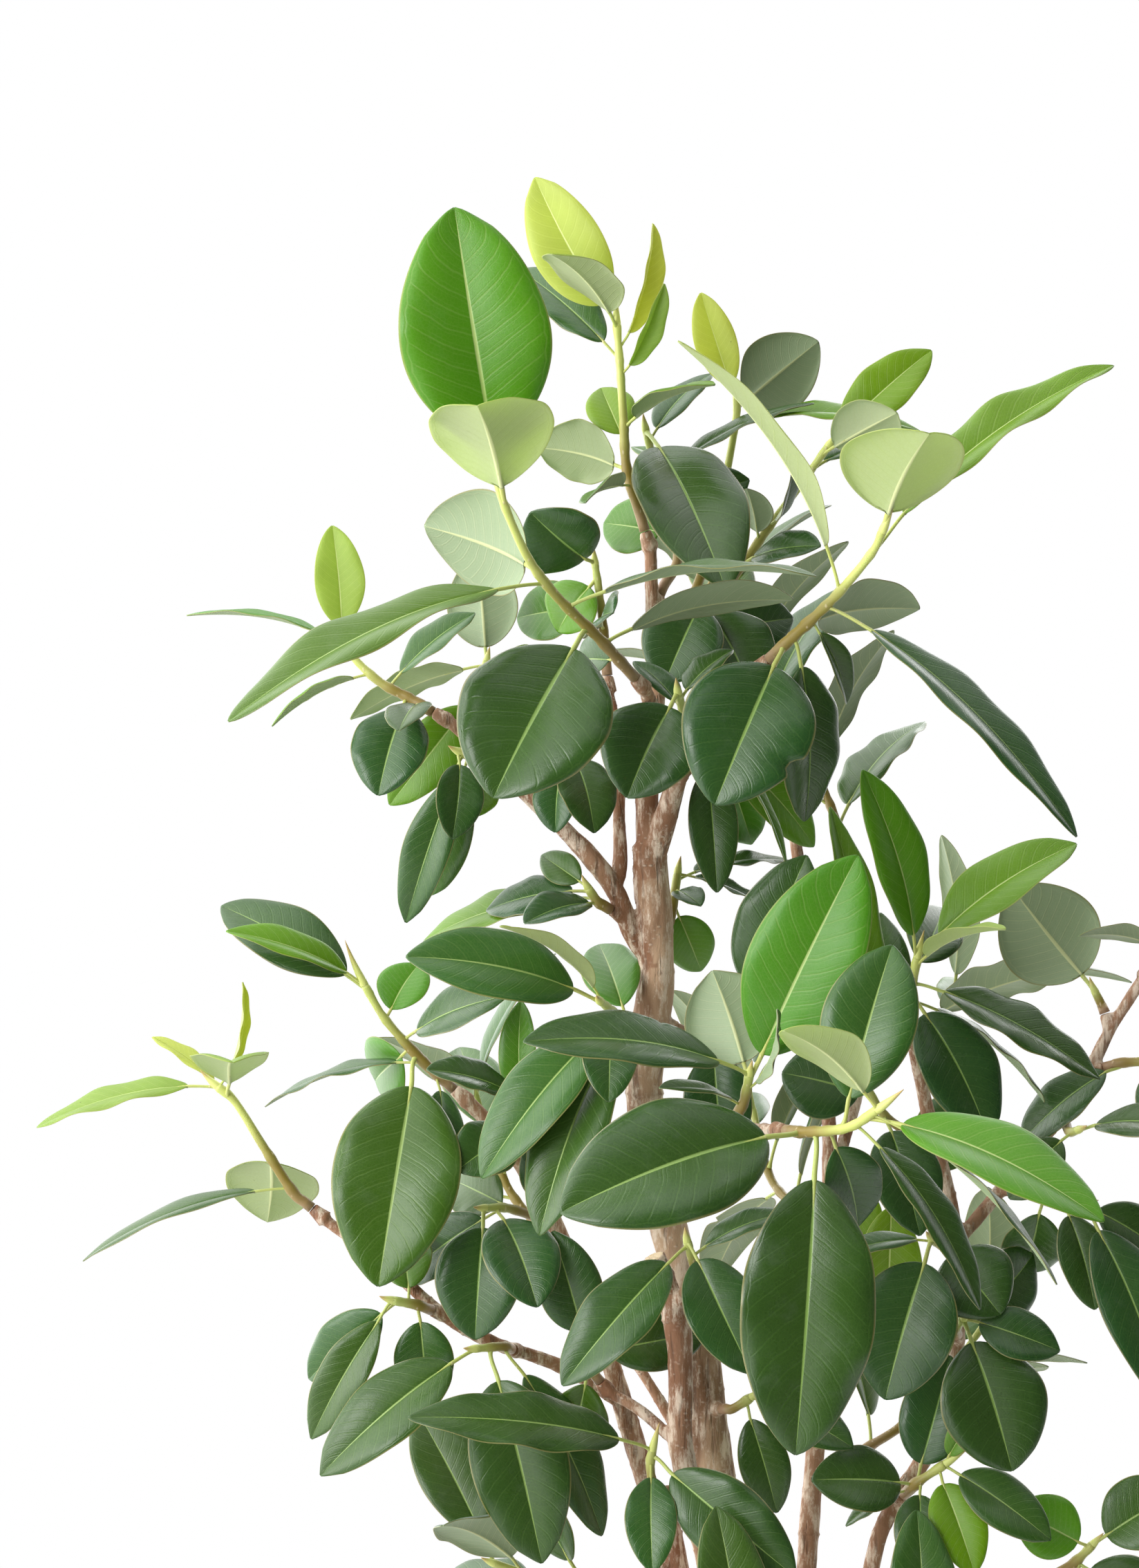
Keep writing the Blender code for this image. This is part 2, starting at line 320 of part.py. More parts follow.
        (1.0, (-6.0, -2.6, 64.4), 2.8, (0.1, -1, 0.2), 12, 0.1),
        (0.8, (0.6, 0.2, 60.2), 2.6, FRONT, 10, 0.0),
        (0.5, (-5.4, 0.4, 54.2), 2.8, FRONT, 10, 0.15)]),
    "front_right_leaves": ("main_stem", [(0.5, 1.4, 57.0), (1.8, -0.4, 56.9), (2.6, -1.0, 57.4)], [
        (1.0, (7.0, -2.6, 55.2), 2.4, (0, -0.8, 0.8), 10, 0.05),
        (0.8, (3.7, -1.0, 52.4), 2.2, FRONT, 10, 0.1),
        (0.9, (5.6, 1.4, 61.2), 2.8, FRONT, 10, 0.0)]),
    "lower_right_shoot": ("right_stem", [(9.0, 0.4, 53.1), (9.8, -1.2, 53.7), (11.0, -1.6, 54.5)], [
        (0.42, (11.2, -0.2, 59.2), 3.0, (-0.2, -1, 0), 10, 0.0),
        (0.36, (5.2, -2.4, 53.8), 3.0, (0, -0.9, 0.6), 8, 0.05),
        (0.5, (9.9, -3.6, 49.4), 2.3, (0, -1, 0.2), 10, 0.05),
        (0.85, (12.3, -3.2, 49.6), 2.4, (0, -1, 0.2), 10, 0.45),
        (0.95, (15.6, -2.4, 51.3), 2.5, (0.1, -0.9, 0.6), 10, 0.1),
        (1.0, (12.5, -1.8, 57.2), 1.2, (-0.4, -1, 0), 22, 0.6),
        (0.2, (6.7, -0.8, 51.8), 1.4, UP, 10, 0.15)]),
    "right_low_shoot": ("right_stem", [(11.55, 1.0, 60.3), (11.5, -0.9, 60.4), (11.8, -1.7, 60.8)], [
        (0.95, (13.9, -3.4, 54.2), 4.7, (0.1, -1, 0.3), 10, 0.05),
        (1.0, (15.9, -1.6, 59.5), 2.4, (0, -0.9, 0.6), 10, 0.1),
        (0.6, (14.8, 2.0, 63.6), 3.2, RIGHT, 10, 0.05)]),
    "right_mid_shoot": ("right_stem", [(11.45, 0.9, 63.6), (10.8, -0.8, 64.0), (10.4, -1.5, 64.3)], [
        (0.95, (8.4, -2.6, 57.3), 4.5, (-0.2, -1, 0.3), 10, 0.05),
        (0.8, (5.6, -1.6, 63.2), 2.0, UP, 10, 0.15),
        (0.5, (13.2, -3.0, 61.2), 3.8, (0.1, -1, 0.3), 10, 0.0)]),
    "right_back_leaves": ("right_stem", [(11.3, 0.8, 65.4), (9.4, 4.2, 66.6), (8.0, 6.0, 67.2)], [
        (1.0, (5.8, 7.0, 62.4), 3.0, FRONT, 10, 0.6),
        (0.8, (8.4, 6.6, 59.6), 3.0, FRONT, 10, 0.6),
        (0.6, (12.4, 6.4, 70.4), 3.2, FRONT, 10, 0.1)]),
    "right_edge_low_shoot": ("right_stem", [(13.6, 1.6, 66.7), (15.3, 0.4, 66.0), (17.0, -0.4, 65.9)], [
        (0.7, (17.5, -1.6, 61.2), 2.4, (0.2, -1, 0.2), 12, 0.1),
        (1.0, (20.4, -1.2, 57.2), 3.2, (0.2, -1, 0.3), 10, 0.05),
        (0.9, (21.6, 0.4, 62.6), 2.8, (0.2, -0.9, 0.5), 10, 0.05),
        (0.4, (14.4, 3.6, 62.8), 2.8, FRONT, 10, 0.1)]),
    "right_edge_shoot": ("right_stem", [(17.0, 1.0, 71.2), (18.6, 0.2, 71.9), (20.2, -0.2, 72.0)], [
        (1.0, (24.6, -0.6, 68.9), 3.0, (0.2, -0.8, 0.6), 10, 0.1),
        (0.7, (21.4, -2.6, 67.2), 2.8, (0.1, -0.9, 0.5), 10, 0.05),
        (0.4, (14.6, 3.4, 69.4), 2.6, (0, -0.6, 0.9), 10, 0.05),
        (0.9, (23.2, 2.4, 76.0), 2.8, FRONT, 10, 0.2)]),
    "right_edge_top_shoot": ("right_stem", [(18.2, 0.8, 73.4), (17.8, 0.9, 74.4), (17.5, 0.9, 75.0)], [
        (1.0, (13.9, 1.6, 79.5), 4.6, (-0.2, 0.9, 0.4), 8, 0.1)]),
    "right_edge_tip_shoot": ("right_stem", [(19.6, 0.6, 75.6), (20.4, 0.4, 76.8), (21.0, 0.2, 78.4)], [
        (0.3, (16.8, -1.4, 77.4), 1.7, (0, 0.5, 0.9), 12, 0.2),
        (0.8, (24.8, -1.4, 81.2), 2.8, (-0.2, -0.9, 0.4), 14, 0.35),
        (1.0, (20.4, 0.8, 85.4), 2.2, (0.2, -1, 0), 20, 0.8),
        (0.6, (25.2, 2.8, 77.2), 2.8, UP, 12, 0.1)]),
    "right_under_shoot": ("right_stem", [(15.8, 1.1, 69.4), (16.4, -0.8, 68.9), (16.8, -1.6, 69.0)], [
        (1.0, (22.2, -4.0, 69.0), 2.8, (0, -0.5, 0.9), 10, 0.05),
        (0.7, (13.8, -1.2, 66.0), 2.4, (-0.1, -0.8, 0.6), 10, 0.1)]),
    "low_right_edge_shoot": ("right_stem", [(15, -0.3, 49.2), (16.6, -0.6, 50.2), (17.4, -0.8, 51.0)], [
        (0.5, (20.6, -2.2, 47.6), 3.4, (0.1, -0.9, 0.6), 10, 0.05),
        (1.0, (21.4, -0.8, 53.4), 3.2, (0.1, -0.8, 0.6), 10, 0.1),
        (0.9, (14.0, -0.6, 52.6), 2.8, (0, -1, 0.3), 10, 0.5),
        (0.6, (16.4, -1.6, 45.4), 2.8, FRONT, 10, 0.1)]),
}

# Shoots whose leaves follow one rule: stem, twig's row points, number of leaves.
RULE_SHOOTS = {
    "low_left_shoot": ("left_stem", [(-0.6, 3.0, 49.8), (-5.0, 1.2, 49.2), (-8.6, 0.4, 50.2)], 5),
    "low_front_shoot": ("front_stem", [(2.6, -2.7, 38.6), (2.2, -7.2, 41.6), (2.4, -9.6, 45.4)], 5),
    "low_front_right_shoot": ("right_stem", [(6.6, 0.8, 40.0), (8.9, -3.8, 42.0), (10.4, -6.2, 45.2)], 5),
    "low_right_shoot": ("right_stem", [(9.6, 0.4, 46.5), (12.6, 2.6, 43.6), (15.6, 3.6, 43.4)], 4),
    "back_low_shoot": ("back_stem", [(4.2, 5.9, 35.0), (4.6, 11.0, 38.6), (4.4, 14.4, 43.2)], 5),
    "back_left_shoot": ("back_stem", [(-5, 11, 63), (-7.8, 12.4, 66.2), (-9.4, 12.8, 70.6)], 6),
    "back_mid_shoot": ("back_stem", [(5.9, 8.7, 64.0), (3.6, 13.2, 66.6), (2.4, 15.6, 71.0)], 6),
    "back_right_shoot": ("back_stem", [(7.6, 10.6, 73), (10.2, 12.8, 73.6), (12.0, 13.4, 75.2)], 5),
    "back_top_shoot": ("back_stem", [(4.2, 10, 84), (2.6, 9.4, 88.2), (1.6, 9.0, 92.4)], 6),
    "back_right_top_shoot": ("back_stem", [(7.0, 11.2, 80), (6.2, 11.6, 82.6), (4.8, 12.4, 86.0)], 5),
    "back_low_right_shoot": ("back_stem", [(5.2, 7.8, 54.0), (9.4, 10.8, 56.4), (12.6, 12.0, 60.4)], 5),
}

# ---------------------------------------------------------------- colours
WOOD_COLOURS = {"main_stem": (0.36, 0.25, 0.20), "front_stem": (0.40, 0.27, 0.22),
                "left_stem": (0.26, 0.18, 0.14),
                "right_stem": (0.30, 0.23, 0.17), "back_stem": (0.28, 0.20, 0.15)}
OLD_LEAF = (0.035, 0.10, 0.03)
YOUNG_LEAF = (0.32, 0.48, 0.08)
POT_COLOUR = (0.62, 0.60, 0.56)
SOIL_COLOUR = (0.045, 0.03, 0.02)


# ---------------------------------------------------------------- scene helpers
def clear_scene():
    for old in list(bpy.data.objects):
        bpy.data.objects.remove(old, do_unlink=True)


def new_collection(name):
    made = bpy.data.collections.new(name)
    bpy.context.scene.collection.children.link(made)
    return made


def material(name, colour, roughness):
    made = bpy.data.materials.new(name)
    made.use_nodes = True
    shader = made.node_tree.nodes["Principled BSDF"]
    shader.inputs["Base Color"].default_value = (*colour, 1.0)
    shader.inputs["Roughness"].default_value = roughness
    return made


def add_object(name, mesh, collection, finish=None):
    made = bpy.data.objects.new(name, mesh)
    collection.objects.link(made)
    if finish:
        mesh.materials.clear()
        mesh.materials.append(finish)
    return made


def as_tool(tool):
    tool.hide_render = True
    tool.display_type = "WIRE"
    return tool


def boolean(target, tool, operation):
    cut = target.modifiers.new(tool.name, "BOOLEAN")
    cut.operation = operation
    cut.solver = "EXACT"
    cut.object = tool


# ---------------------------------------------------------------- rows to true positions
def planted(point):
    """A row point in centimetres as a true position in metres."""
    across, depth, height = point
    reach = (depth - ROW_EYE.y) / -ROW_EYE.y
    x = ROW_EYE.x + (across - ROW_EYE.x) * reach - ROW_POT_AXIS
    z = ROW_EYE.z + (height - ROW_EYE.z) * reach - ROW_SOIL_HEIGHT
    return Vector((x, depth, z)) * CM * PLANT_SCALE + Vector((0, 0, SOIL_TOP))


def smooth_path(points, step):
    """Evenly spaced points on a smooth curve through the given ones."""
    padded = [points[0] * 2 - points[1], *points, points[-1] * 2 - points[-2]]
    path = [points[0].copy()]
    for a, b, c, d in zip(padded, padded[1:], padded[2:], padded[3:]):
        count = max(1, round((c - b).length / step))
        for k in range(1, count + 1):
            t = k / count
            path.append(0.5 * (2 * b + (c - a) * t + (2 * a - 5 * b + 4 * c - d) * t ** 2
                               + (3 * b - 3 * c + d - a) * t ** 3))
    return path


def along(path, t):
    """The point a share t of the way along a path, and the path's direction there."""
    lengths = [(b - a).length for a, b in zip(path, path[1:])]
    left = t * sum(lengths)
    for (a, b), length in zip(zip(path, path[1:]), lengths):
        if left <= length:
            break
        left -= length
    direction = (b - a).normalized()
    return a + direction * min(left, length), direction


# ---------------------------------------------------------------- tubes
def tube_mesh(path, first, last, resolution):
    """A tapering round tube along a path, as a closed mesh."""
    curve = bpy.data.curves.new("route", "CURVE")
    curve.dimensions = "3D"
    curve.bevel_depth = 1.0
    curve.bevel_resolution = resolution
    curve.use_fill_caps = True
    spline = curve.splines.new("POLY")
    spline.points.add(len(path) - 1)
    for index, (knot, place) in enumerate(zip(spline.points, path)):
        knot.co = (*place, 1.0)
        knot.radius = first + (last - first) * index / (len(path) - 1)
    guide = bpy.data.objects.new("guide", curve)
    bpy.context.scene.collection.objects.link(guide)
    reader = bpy.context.evaluated_depsgraph_get()
    mesh = bpy.data.meshes.new_from_object(guide.evaluated_get(reader))
    shape = bmesh.new()
    shape.from_mesh(mesh)
    bmesh.ops.remove_doubles(shape, verts=shape.verts, dist=1e-6)
    bmesh.ops.recalc_face_normals(shape, faces=shape.faces)
    shape.to_mesh(mesh)
    shape.free()
    bpy.data.objects.remove(guide, do_unlink=True)
    bpy.data.curves.remove(curve)
    return mesh


# ---------------------------------------------------------------- leaves
PETIOLE_SHARE = 0.17
ARCH_CREST = 0.45            # where the midrib's arch is highest, of the leaf's length
ARCH_RISE = 0.16
BLADE_STATIONS = (0.0, 0.17, 0.48, 0.82)


def half_width(share):
    """Half the blade's width at a share of its length, for a blade one unit wide."""
    return 0.5 * math.sin(math.pi * min(max(share, 0.0), 1.0) ** 0.9) ** 0.75


def leaf_line(root, tip, facing, u):
    """A point on the arching midrib, from the twig at u = 0 to the tip at u = 1."""
    crest = root.lerp(tip, ARCH_CREST) + facing * ARCH_RISE * (tip - root).length
    return root.lerp(crest, u).lerp(crest.lerp(tip, u), u)


def leaf_frame(root, tip, facing):
    """The leaf's facing made square to its length."""
    axis = (tip - root).normalized()
    square = Vector(facing)
    square -= axis * square.dot(axis)
    return square.normalized()


def leaf_shape(root, tip, width, facing, fold, spare=0.0, blade_only=False):
    """Vertices and faces of petiole and blade: four-sided sections that widen into the blade."""
    up = leaf_frame(root, tip, facing)
    side = (tip - root).normalized().cross(up)
    rise = math.sin(math.radians(fold))
    reach = math.cos(math.radians(fold))
    sections = []
    if not blade_only:
        sections.append((0.0, 0.0))
    sections += [(PETIOLE_SHARE + (1 - PETIOLE_SHARE) * s, s) for s in BLADE_STATIONS]
    corners = []
    for u, share in sections:
        centre = leaf_line(root, tip, up, u)
        half = max(PETIOLE_RADIUS, width * half_width(share)) + spare
        thick = (PETIOLE_RADIUS if u < PETIOLE_SHARE else BLADE_THICKNESS / 2) + spare
        lift = half * rise if share else 0.0
        across = half * reach if share else half
        corners += [centre + up * thick, centre + side * across + up * lift,
                    centre - up * thick, centre - side * across + up * lift]
    end = leaf_line(root, tip, up, 1.0)
    corners.append(end + (end - centre).normalized() * spare)
    faces = [(3, 2, 1, 0)]
    for k in range(len(sections) - 1):
        for j in range(4):
            a = 4 * k + j
            b = 4 * k + (j + 1) % 4
            faces.append((a, b, b + 4, a + 4))
    last = 4 * (len(sections) - 1)
    faces += [(last + j, last + (j + 1) % 4, last + 4) for j in range(4)]
    return corners, faces


def leaf_mesh(*shape):
    corners, faces = leaf_shape(*shape)
    mesh = bpy.data.meshes.new("leaf")
    mesh.from_pydata(corners, [], faces)
    work = bmesh.new()
    work.from_mesh(mesh)
    bmesh.ops.triangulate(work, faces=work.faces)
    bmesh.ops.recalc_face_normals(work, faces=work.faces)
    work.to_mesh(mesh)
    work.free()
    return mesh


# ---------------------------------------------------------------- room between leaves
class Room:
    """What is already placed, so that a new leaf can be turned clear of it."""

    def __init__(self):
        self.taken = []

    def add(self, owner, corners, faces):
        centre = sum(corners, Vector()) / len(corners)
        radius = max((c - centre).length for c in corners)
        self.taken.append((owner, centre, radius, BVHTree.FromPolygons(corners, faces)))

    def add_mesh(self, owner, mesh):
        self.add(owner, [v.co.copy() for v in mesh.vertices], [tuple(p.vertices) for p in mesh.polygons])

    def clashes(self, corners, faces, skip=()):
        centre = sum(corners, Vector()) / len(corners)
        radius = max((c - centre).length for c in corners)
        tree = BVHTree.FromPolygons(corners, faces)
        hits = 0
        for owner, middle, size, other in self.taken:
            if owner not in skip and (middle - centre).length < size + radius:
                hits += len(tree.overlap(other))
        return hits


# How a crowded leaf moves its tip, in shares of its length (across, depth, height), nearest first,
# and how much smaller it grows where even that leaves no room.
TURNS = sorted(((x, y, z) for x in (0, -0.12, 0.12, -0.28, 0.28) for z in (0, -0.12, 0.12, -0.28, 0.28)
                for y in (0, -0.14, 0.14, -0.28, 0.28, -0.45, 0.45)),
               key=lambda turn: (abs(turn[0]) + abs(turn[2])) * 1.5 + abs(turn[1]) * 0.8)
SIZES = (1.0, 0.82, 0.66)


def roomy_leaf(room, owner, root, tip, width, facing, fold):
    """The leaf, turned by the first of TURNS that clears everything placed before it."""
    best = None
    for size in SIZES:
        reach = (tip - root) * size * LEAF_SCALE
        for turn in TURNS:
            moved = (reach + Vector(turn) * reach.length).normalized() * reach.length
            shape = (root, root + moved, width * size * LEAF_SCALE, facing, fold)
            hits = room.clashes(*leaf_shape(*shape, LEAF_CLEARANCE), skip=(owner, owner + " twig"))
            hits += room.clashes(*leaf_shape(*shape, LEAF_CLEARANCE, True))
            if best is None or hits < best[0]:
                best = (hits, shape)
            if hits == 0:
                return shape
    return best[1]


# ---------------------------------------------------------------- the plant
GOLDEN_ANGLE = math.radians(137.5)


def rule_leaves(path, count):
    """Leaves set round a twig by the golden angle, longer at the foot than at the tip."""
    leaves = []
    for k in range(count):
        t = RULE_FIRST_LEAF + (1 - RULE_FIRST_LEAF) * k / (count - 1)
        root, direction = along(path, t)
        side = direction.orthogonal().normalized()
        side.rotate(Matrix.Rotation(GOLDEN_ANGLE * k, 3, direction))
        heading = (side + direction * (0.2 + 0.5 * t) + Vector((0, 0, 0.25))).normalized()
        tip = root + heading * (RULE_LEAF_LENGTH - RULE_LEAF_SHORTENS * t)
        facing = direction * 0.6 + Vector((0, 0, 1))
        leaves.append((t, tip, RULE_LEAF_WIDTH - RULE_LEAF_NARROWS * t, facing, RULE_LEAF_FOLD))
    return leaves


def shoot_seat(axis, first, second):
    """Where a shoot sits on its stem: the axis point, the outward direction and the collar's length."""
    centre, direction, radius = min(axis, key=lambda ring: (first - ring[0]).length - ring[2])
    outward = (second - centre).normalized()
    square = max(outward.cross(direction).length, LEAST_COLLAR_SINE)
    return centre, outward, radius / square + SPUR_LENGTH


def stem_axis(stem):
    """Every limb's axis as (point, direction, radius)."""
    axis = []
    for points, first, last in STEMS[stem]:
        path = smooth_path([planted(p) for p in points], AXIS_STEP)
        for index, place in enumerate(path):
            share = index / (len(path) - 1)
            direction = (path[min(index + 1, len(path) - 1)] - path[max(index - 1, 0)]).normalized()
            axis.append((place, direction, (first + (last - first) * share) * CM * STEM_SCALE))
    return axis


def twig_path(seat, rows):
    centre, outward, collar = seat
    start = centre + outward * (collar + GAP)
    return smooth_path_from(start, outward, [planted(p) for p in rows[1:]])


def twig_mesh(path):
    return tube_mesh(path, TWIG_RADIUS * STEM_SCALE, TWIG_TIP_RADIUS * STEM_SCALE, TWIG_ROUNDNESS)


def smooth_path_from(start, outward, rest):
    """A path that leaves its seat squarely before it bends through the other points."""
    straight = start + outward * TWIG_STRAIGHT
    return [start] + smooth_path([straight, *rest], TWIG_STEP)


def build_stems(parts, tools, seats):
    """Each stem with its limbs and the woody collars that carry the shoots."""
    stems = {}
    for stem, limbs in STEMS.items():
        finish = material(stem, WOOD_COLOURS[stem], 0.8)
        body = None
        for number, (points, first, last) in enumerate(limbs):
            path = smooth_path([planted(p) for p in points], LIMB_STEP)
            mesh = tube_mesh(path, first * CM * STEM_SCALE, last * CM * STEM_SCALE, LIMB_ROUNDNESS)
            if body is None:
                body = add_object(stem, mesh, parts, finish)
            else:
                limb = as_tool(add_object(f"{stem}_limb_{number}", mesh, tools))
                boolean(body, limb, "UNION")
        for shoot, (owner, centre, outward, collar_length) in seats.items():
            if owner != stem:
                continue
            path = [centre - outward * COLLAR_ROOT, centre + outward * collar_length]
            radius = TWIG_RADIUS * STEM_SCALE
            collar = tube_mesh(path, radius * COLLAR_FOOT_SHARE, radius * COLLAR_MOUTH_SHARE, TWIG_ROUNDNESS)
            boolean(body, as_tool(add_object(f"{shoot}_collar", collar, tools)), "UNION")
        stems[stem] = body
    return stems


def build_shoot(name, path, leaves, parts, tools, room, youth):
    colour = [a + (b - a) * youth for a, b in zip(OLD_LEAF, YOUNG_LEAF)]
    mesh = twig_mesh(path)
    body = add_object(name, mesh, parts, material(name, colour, 0.4))
    for number, (t, tip, width, facing, fold) in enumerate(leaves):
        root, _ = along(path, min(t, LAST_LEAF_SHARE))
        shape = roomy_leaf(room, name, root, tip, width, facing, fold)
        room.add(name, *leaf_shape(*shape))
        leaf = as_tool(add_object(f"{name}_leaf_{number}", leaf_mesh(*shape), tools))
        boolean(body, leaf, "UNION")
    return body


def build_plant(parts, tools):
    axes = {stem: stem_axis(stem) for stem in STEMS}
    rows = {name: (stem, twig) for name, (stem, twig, _) in {**SHOOTS, **RULE_SHOOTS}.items()}
    seats, paths = {}, {}
    for name, (stem, twig) in rows.items():
        seat = shoot_seat(axes[stem], planted(twig[0]), planted(twig[1]))
        seats[name] = (stem, *seat)
        paths[name] = twig_path(seat, twig)
    stems = build_stems(parts, tools, seats)
    room = Room()
    reader = bpy.context.evaluated_depsgraph_get()
    for stem, body in stems.items():
        room.add_mesh(stem, bpy.data.meshes.new_from_object(body.evaluated_get(reader)))
    for name, path in paths.items():
        room.add_mesh(name + " twig", twig_mesh(path))
    for name, (_, _, leaves) in SHOOTS.items():
        placed = [(t, planted(tip), width * CM * PLANT_SCALE, facing, fold)
                  for t, tip, width, facing, fold, _ in leaves]
        youth = sum(leaf[5] for leaf in leaves) / len(leaves)
        build_shoot(name, paths[name], placed, parts, tools, room, youth)
    for name, (_, _, count) in RULE_SHOOTS.items():
        build_shoot(name, paths[name], rule_leaves(paths[name], count), parts, tools, room, RULE_YOUTH)


# ---------------------------------------------------------------- the pot and its soil
def turned(name, profile, parts, finish):
    """A solid turned from a profile of (radius, height) points that runs down its outer side."""
    mesh = bpy.data.meshes.new(name)
    mesh.from_pydata([(r, 0, z) for r, z in profile], [(k, k + 1) for k in range(len(profile) - 1)], [])
    made = add_object(name, mesh, parts, finish)
    screw = made.modifiers.new("turn", "SCREW")
    screw.steps = screw.render_steps = POT_SIDES
    screw.use_merge_vertices = True
    screw.merge_threshold = 0.00001
    screw.use_normal_calculate = False
    return made


def outer_radius(height):
    """The pot's outer radius under its rim band at a height."""
    top = POT_TOP_DIAMETER / 2 - POT_RIM_BAND_PROUD
    foot = POT_BASE_DIAMETER / 2
    return foot + (top - foot) * height / POT_HEIGHT


def build_pot(parts, tools):
    rim = POT_TOP_DIAMETER / 2
    band_foot = POT_HEIGHT - POT_RIM_BAND_HEIGHT
    inner_top = outer_radius(POT_HEIGHT) - POT_WALL
    inner_foot = outer_radius(POT_FLOOR) - POT_WALL
    lip = POT_WALL * POT_LIP_SHARE
    profile = [
        (0, POT_FLOOR), (inner_foot - POT_FLOOR_CHAMFER, POT_FLOOR),
        (inner_foot, POT_FLOOR + POT_FLOOR_CHAMFER),
        (inner_top, POT_HEIGHT), (rim - lip, POT_HEIGHT), (rim, POT_HEIGHT - lip),
        (rim - POT_BAND_TAPER, band_foot + POT_BAND_UNDERCUT), (outer_radius(band_foot), band_foot),
        (outer_radius(POT_FOOT_CHAMFER), POT_FOOT_CHAMFER), (outer_radius(0) - POT_FOOT_CHAMFER / 2, 0),
        (0, 0),
    ]
    pot = turned("pot", profile, parts, material("pot", POT_COLOUR, 0.7))
    for number in range(DRAIN_HOLES):
        angle = 2 * math.pi * (number + 0.5) / DRAIN_HOLES
        bpy.ops.mesh.primitive_cylinder_add(vertices=HOLE_SIDES, radius=DRAIN_HOLE_DIAMETER / 2,
                                            depth=POT_FLOOR * 3)
        hole = as_tool(bpy.context.object)
        hole.name = f"drain_hole_{number}"
        hole.location = (DRAIN_HOLE_CIRCLE / 2 * math.cos(angle), DRAIN_HOLE_CIRCLE / 2 * math.sin(angle), 0)
        bpy.context.collection.objects.unlink(hole)
        tools.objects.link(hole)
        boolean(pot, hole, "DIFFERENCE")
    return pot


def build_soil(parts, tools):
    """The root ball's soil, with a socket round each stem's foot."""
    bend = POT_FLOOR + POT_FLOOR_CHAMFER
    foot = outer_radius(POT_FLOOR) - POT_WALL
    top = outer_radius(POT_HEIGHT) - POT_WALL

    def inner(height):
        return foot + (top - foot) * (height - bend) / (POT_HEIGHT - bend) - GAP * 1.5

    shoulder = SOIL_TOP - SOIL_CROWN
    profile = [(0, SOIL_TOP), (inner(SOIL_TOP) * SOIL_FLAT_SHARE, SOIL_TOP), (inner(shoulder), shoulder),
               (inner(bend + GAP), bend + GAP), (foot - POT_FLOOR_CHAMFER - GAP * 1.5, POT_FLOOR + GAP),
               (0, POT_FLOOR + GAP)]
    soil = turned("soil", profile, parts, material("soil", SOIL_COLOUR, 0.95))
    for stem, limbs in STEMS.items():
        points, first, last = limbs[0]
        path = smooth_path([planted(p) for p in points], LIMB_STEP)
        outward = (path[0] - path[1]).normalized()
        socket = [path[0] + outward * GAP, *path[1:4]]
        taper = first + (last - first) * 3 / (len(path) - 1)
        mesh = tube_mesh(socket, first * CM * STEM_SCALE + GAP * 1.2, taper * CM * STEM_SCALE + GAP * 1.2,
                         LIMB_ROUNDNESS)
        boolean(soil, as_tool(add_object(f"{stem}_socket", mesh, tools)), "DIFFERENCE")
    return soil


def main():
    clear_scene()
    parts = new_collection("potted_rusty_fig")
    tools = new_collection("tools")
    build_pot(parts, tools)
    build_soil(parts, tools)
    build_plant(parts, tools)


main()
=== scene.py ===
"""Potted rusty fig: the finished look of the plant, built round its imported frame.

Laid out as an add-on and run as a script. Stems and shoots are given in centimetres in
planting rows: (across, depth, height) as an eye in front of the plant sees them.
"""
import json
import math
from itertools import product

import bpy
import numpy as np
from bpy.props import FloatProperty, FloatVectorProperty, IntProperty, PointerProperty
from mathutils import Matrix, Vector, noise
from mathutils.kdtree import KDTree


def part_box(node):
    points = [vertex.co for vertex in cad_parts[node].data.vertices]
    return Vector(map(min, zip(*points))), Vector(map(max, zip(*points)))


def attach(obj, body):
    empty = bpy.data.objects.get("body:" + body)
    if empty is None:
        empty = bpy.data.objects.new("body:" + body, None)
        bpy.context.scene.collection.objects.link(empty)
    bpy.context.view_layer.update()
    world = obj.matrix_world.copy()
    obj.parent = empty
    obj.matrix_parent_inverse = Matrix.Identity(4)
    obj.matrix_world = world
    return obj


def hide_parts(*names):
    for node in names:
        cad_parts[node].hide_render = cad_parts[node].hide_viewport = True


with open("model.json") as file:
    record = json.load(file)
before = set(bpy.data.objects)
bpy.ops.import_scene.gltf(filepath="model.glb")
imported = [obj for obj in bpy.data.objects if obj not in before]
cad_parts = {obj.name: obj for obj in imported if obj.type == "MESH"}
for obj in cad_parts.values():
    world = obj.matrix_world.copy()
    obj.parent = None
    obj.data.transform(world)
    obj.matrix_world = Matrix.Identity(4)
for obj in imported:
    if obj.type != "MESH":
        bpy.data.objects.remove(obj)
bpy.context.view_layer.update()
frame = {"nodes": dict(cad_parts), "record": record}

bl_info = {
    "name": "Potted Rusty Fig",
    "version": (1, 0, 0),
    "blender": (4, 5, 0),
    "location": "View3D > Sidebar > Rusty Fig",
    "description": "Builds the leaves, wood, soil and pot of a potted rusty fig round its frame",
    "category": "Add Mesh",
}

# ---------------------------------------------------------------- how the rows are read
CM = 0.01
POT_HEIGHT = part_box("pot")[1].z
POT_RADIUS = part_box("pot")[1].x
SOIL_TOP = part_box("soil")[1].z
ROW_EYE = Vector((-5.3, -130.0, 84.0))
ROW_POT_AXIS = 3.0
ROW_SOIL_HEIGHT = 19.2
TWIG_RADIUS = 0.0024
TWIG_TIP_RADIUS = 0.0015
TWIG_STRAIGHT = 0.004
TWIG_STEP = 0.03
SPUR_LENGTH = 0.0035
LEAST_COLLAR_SINE = 0.6
GAP = 0.0003
LAST_LEAF_SHARE = 0.985
PETIOLE_SHARE = 0.17
ARCH_CREST = 0.45
ARCH_RISE = 0.16
GOLDEN_ANGLE = math.radians(137.5)
RULE_YOUTH = 0.15

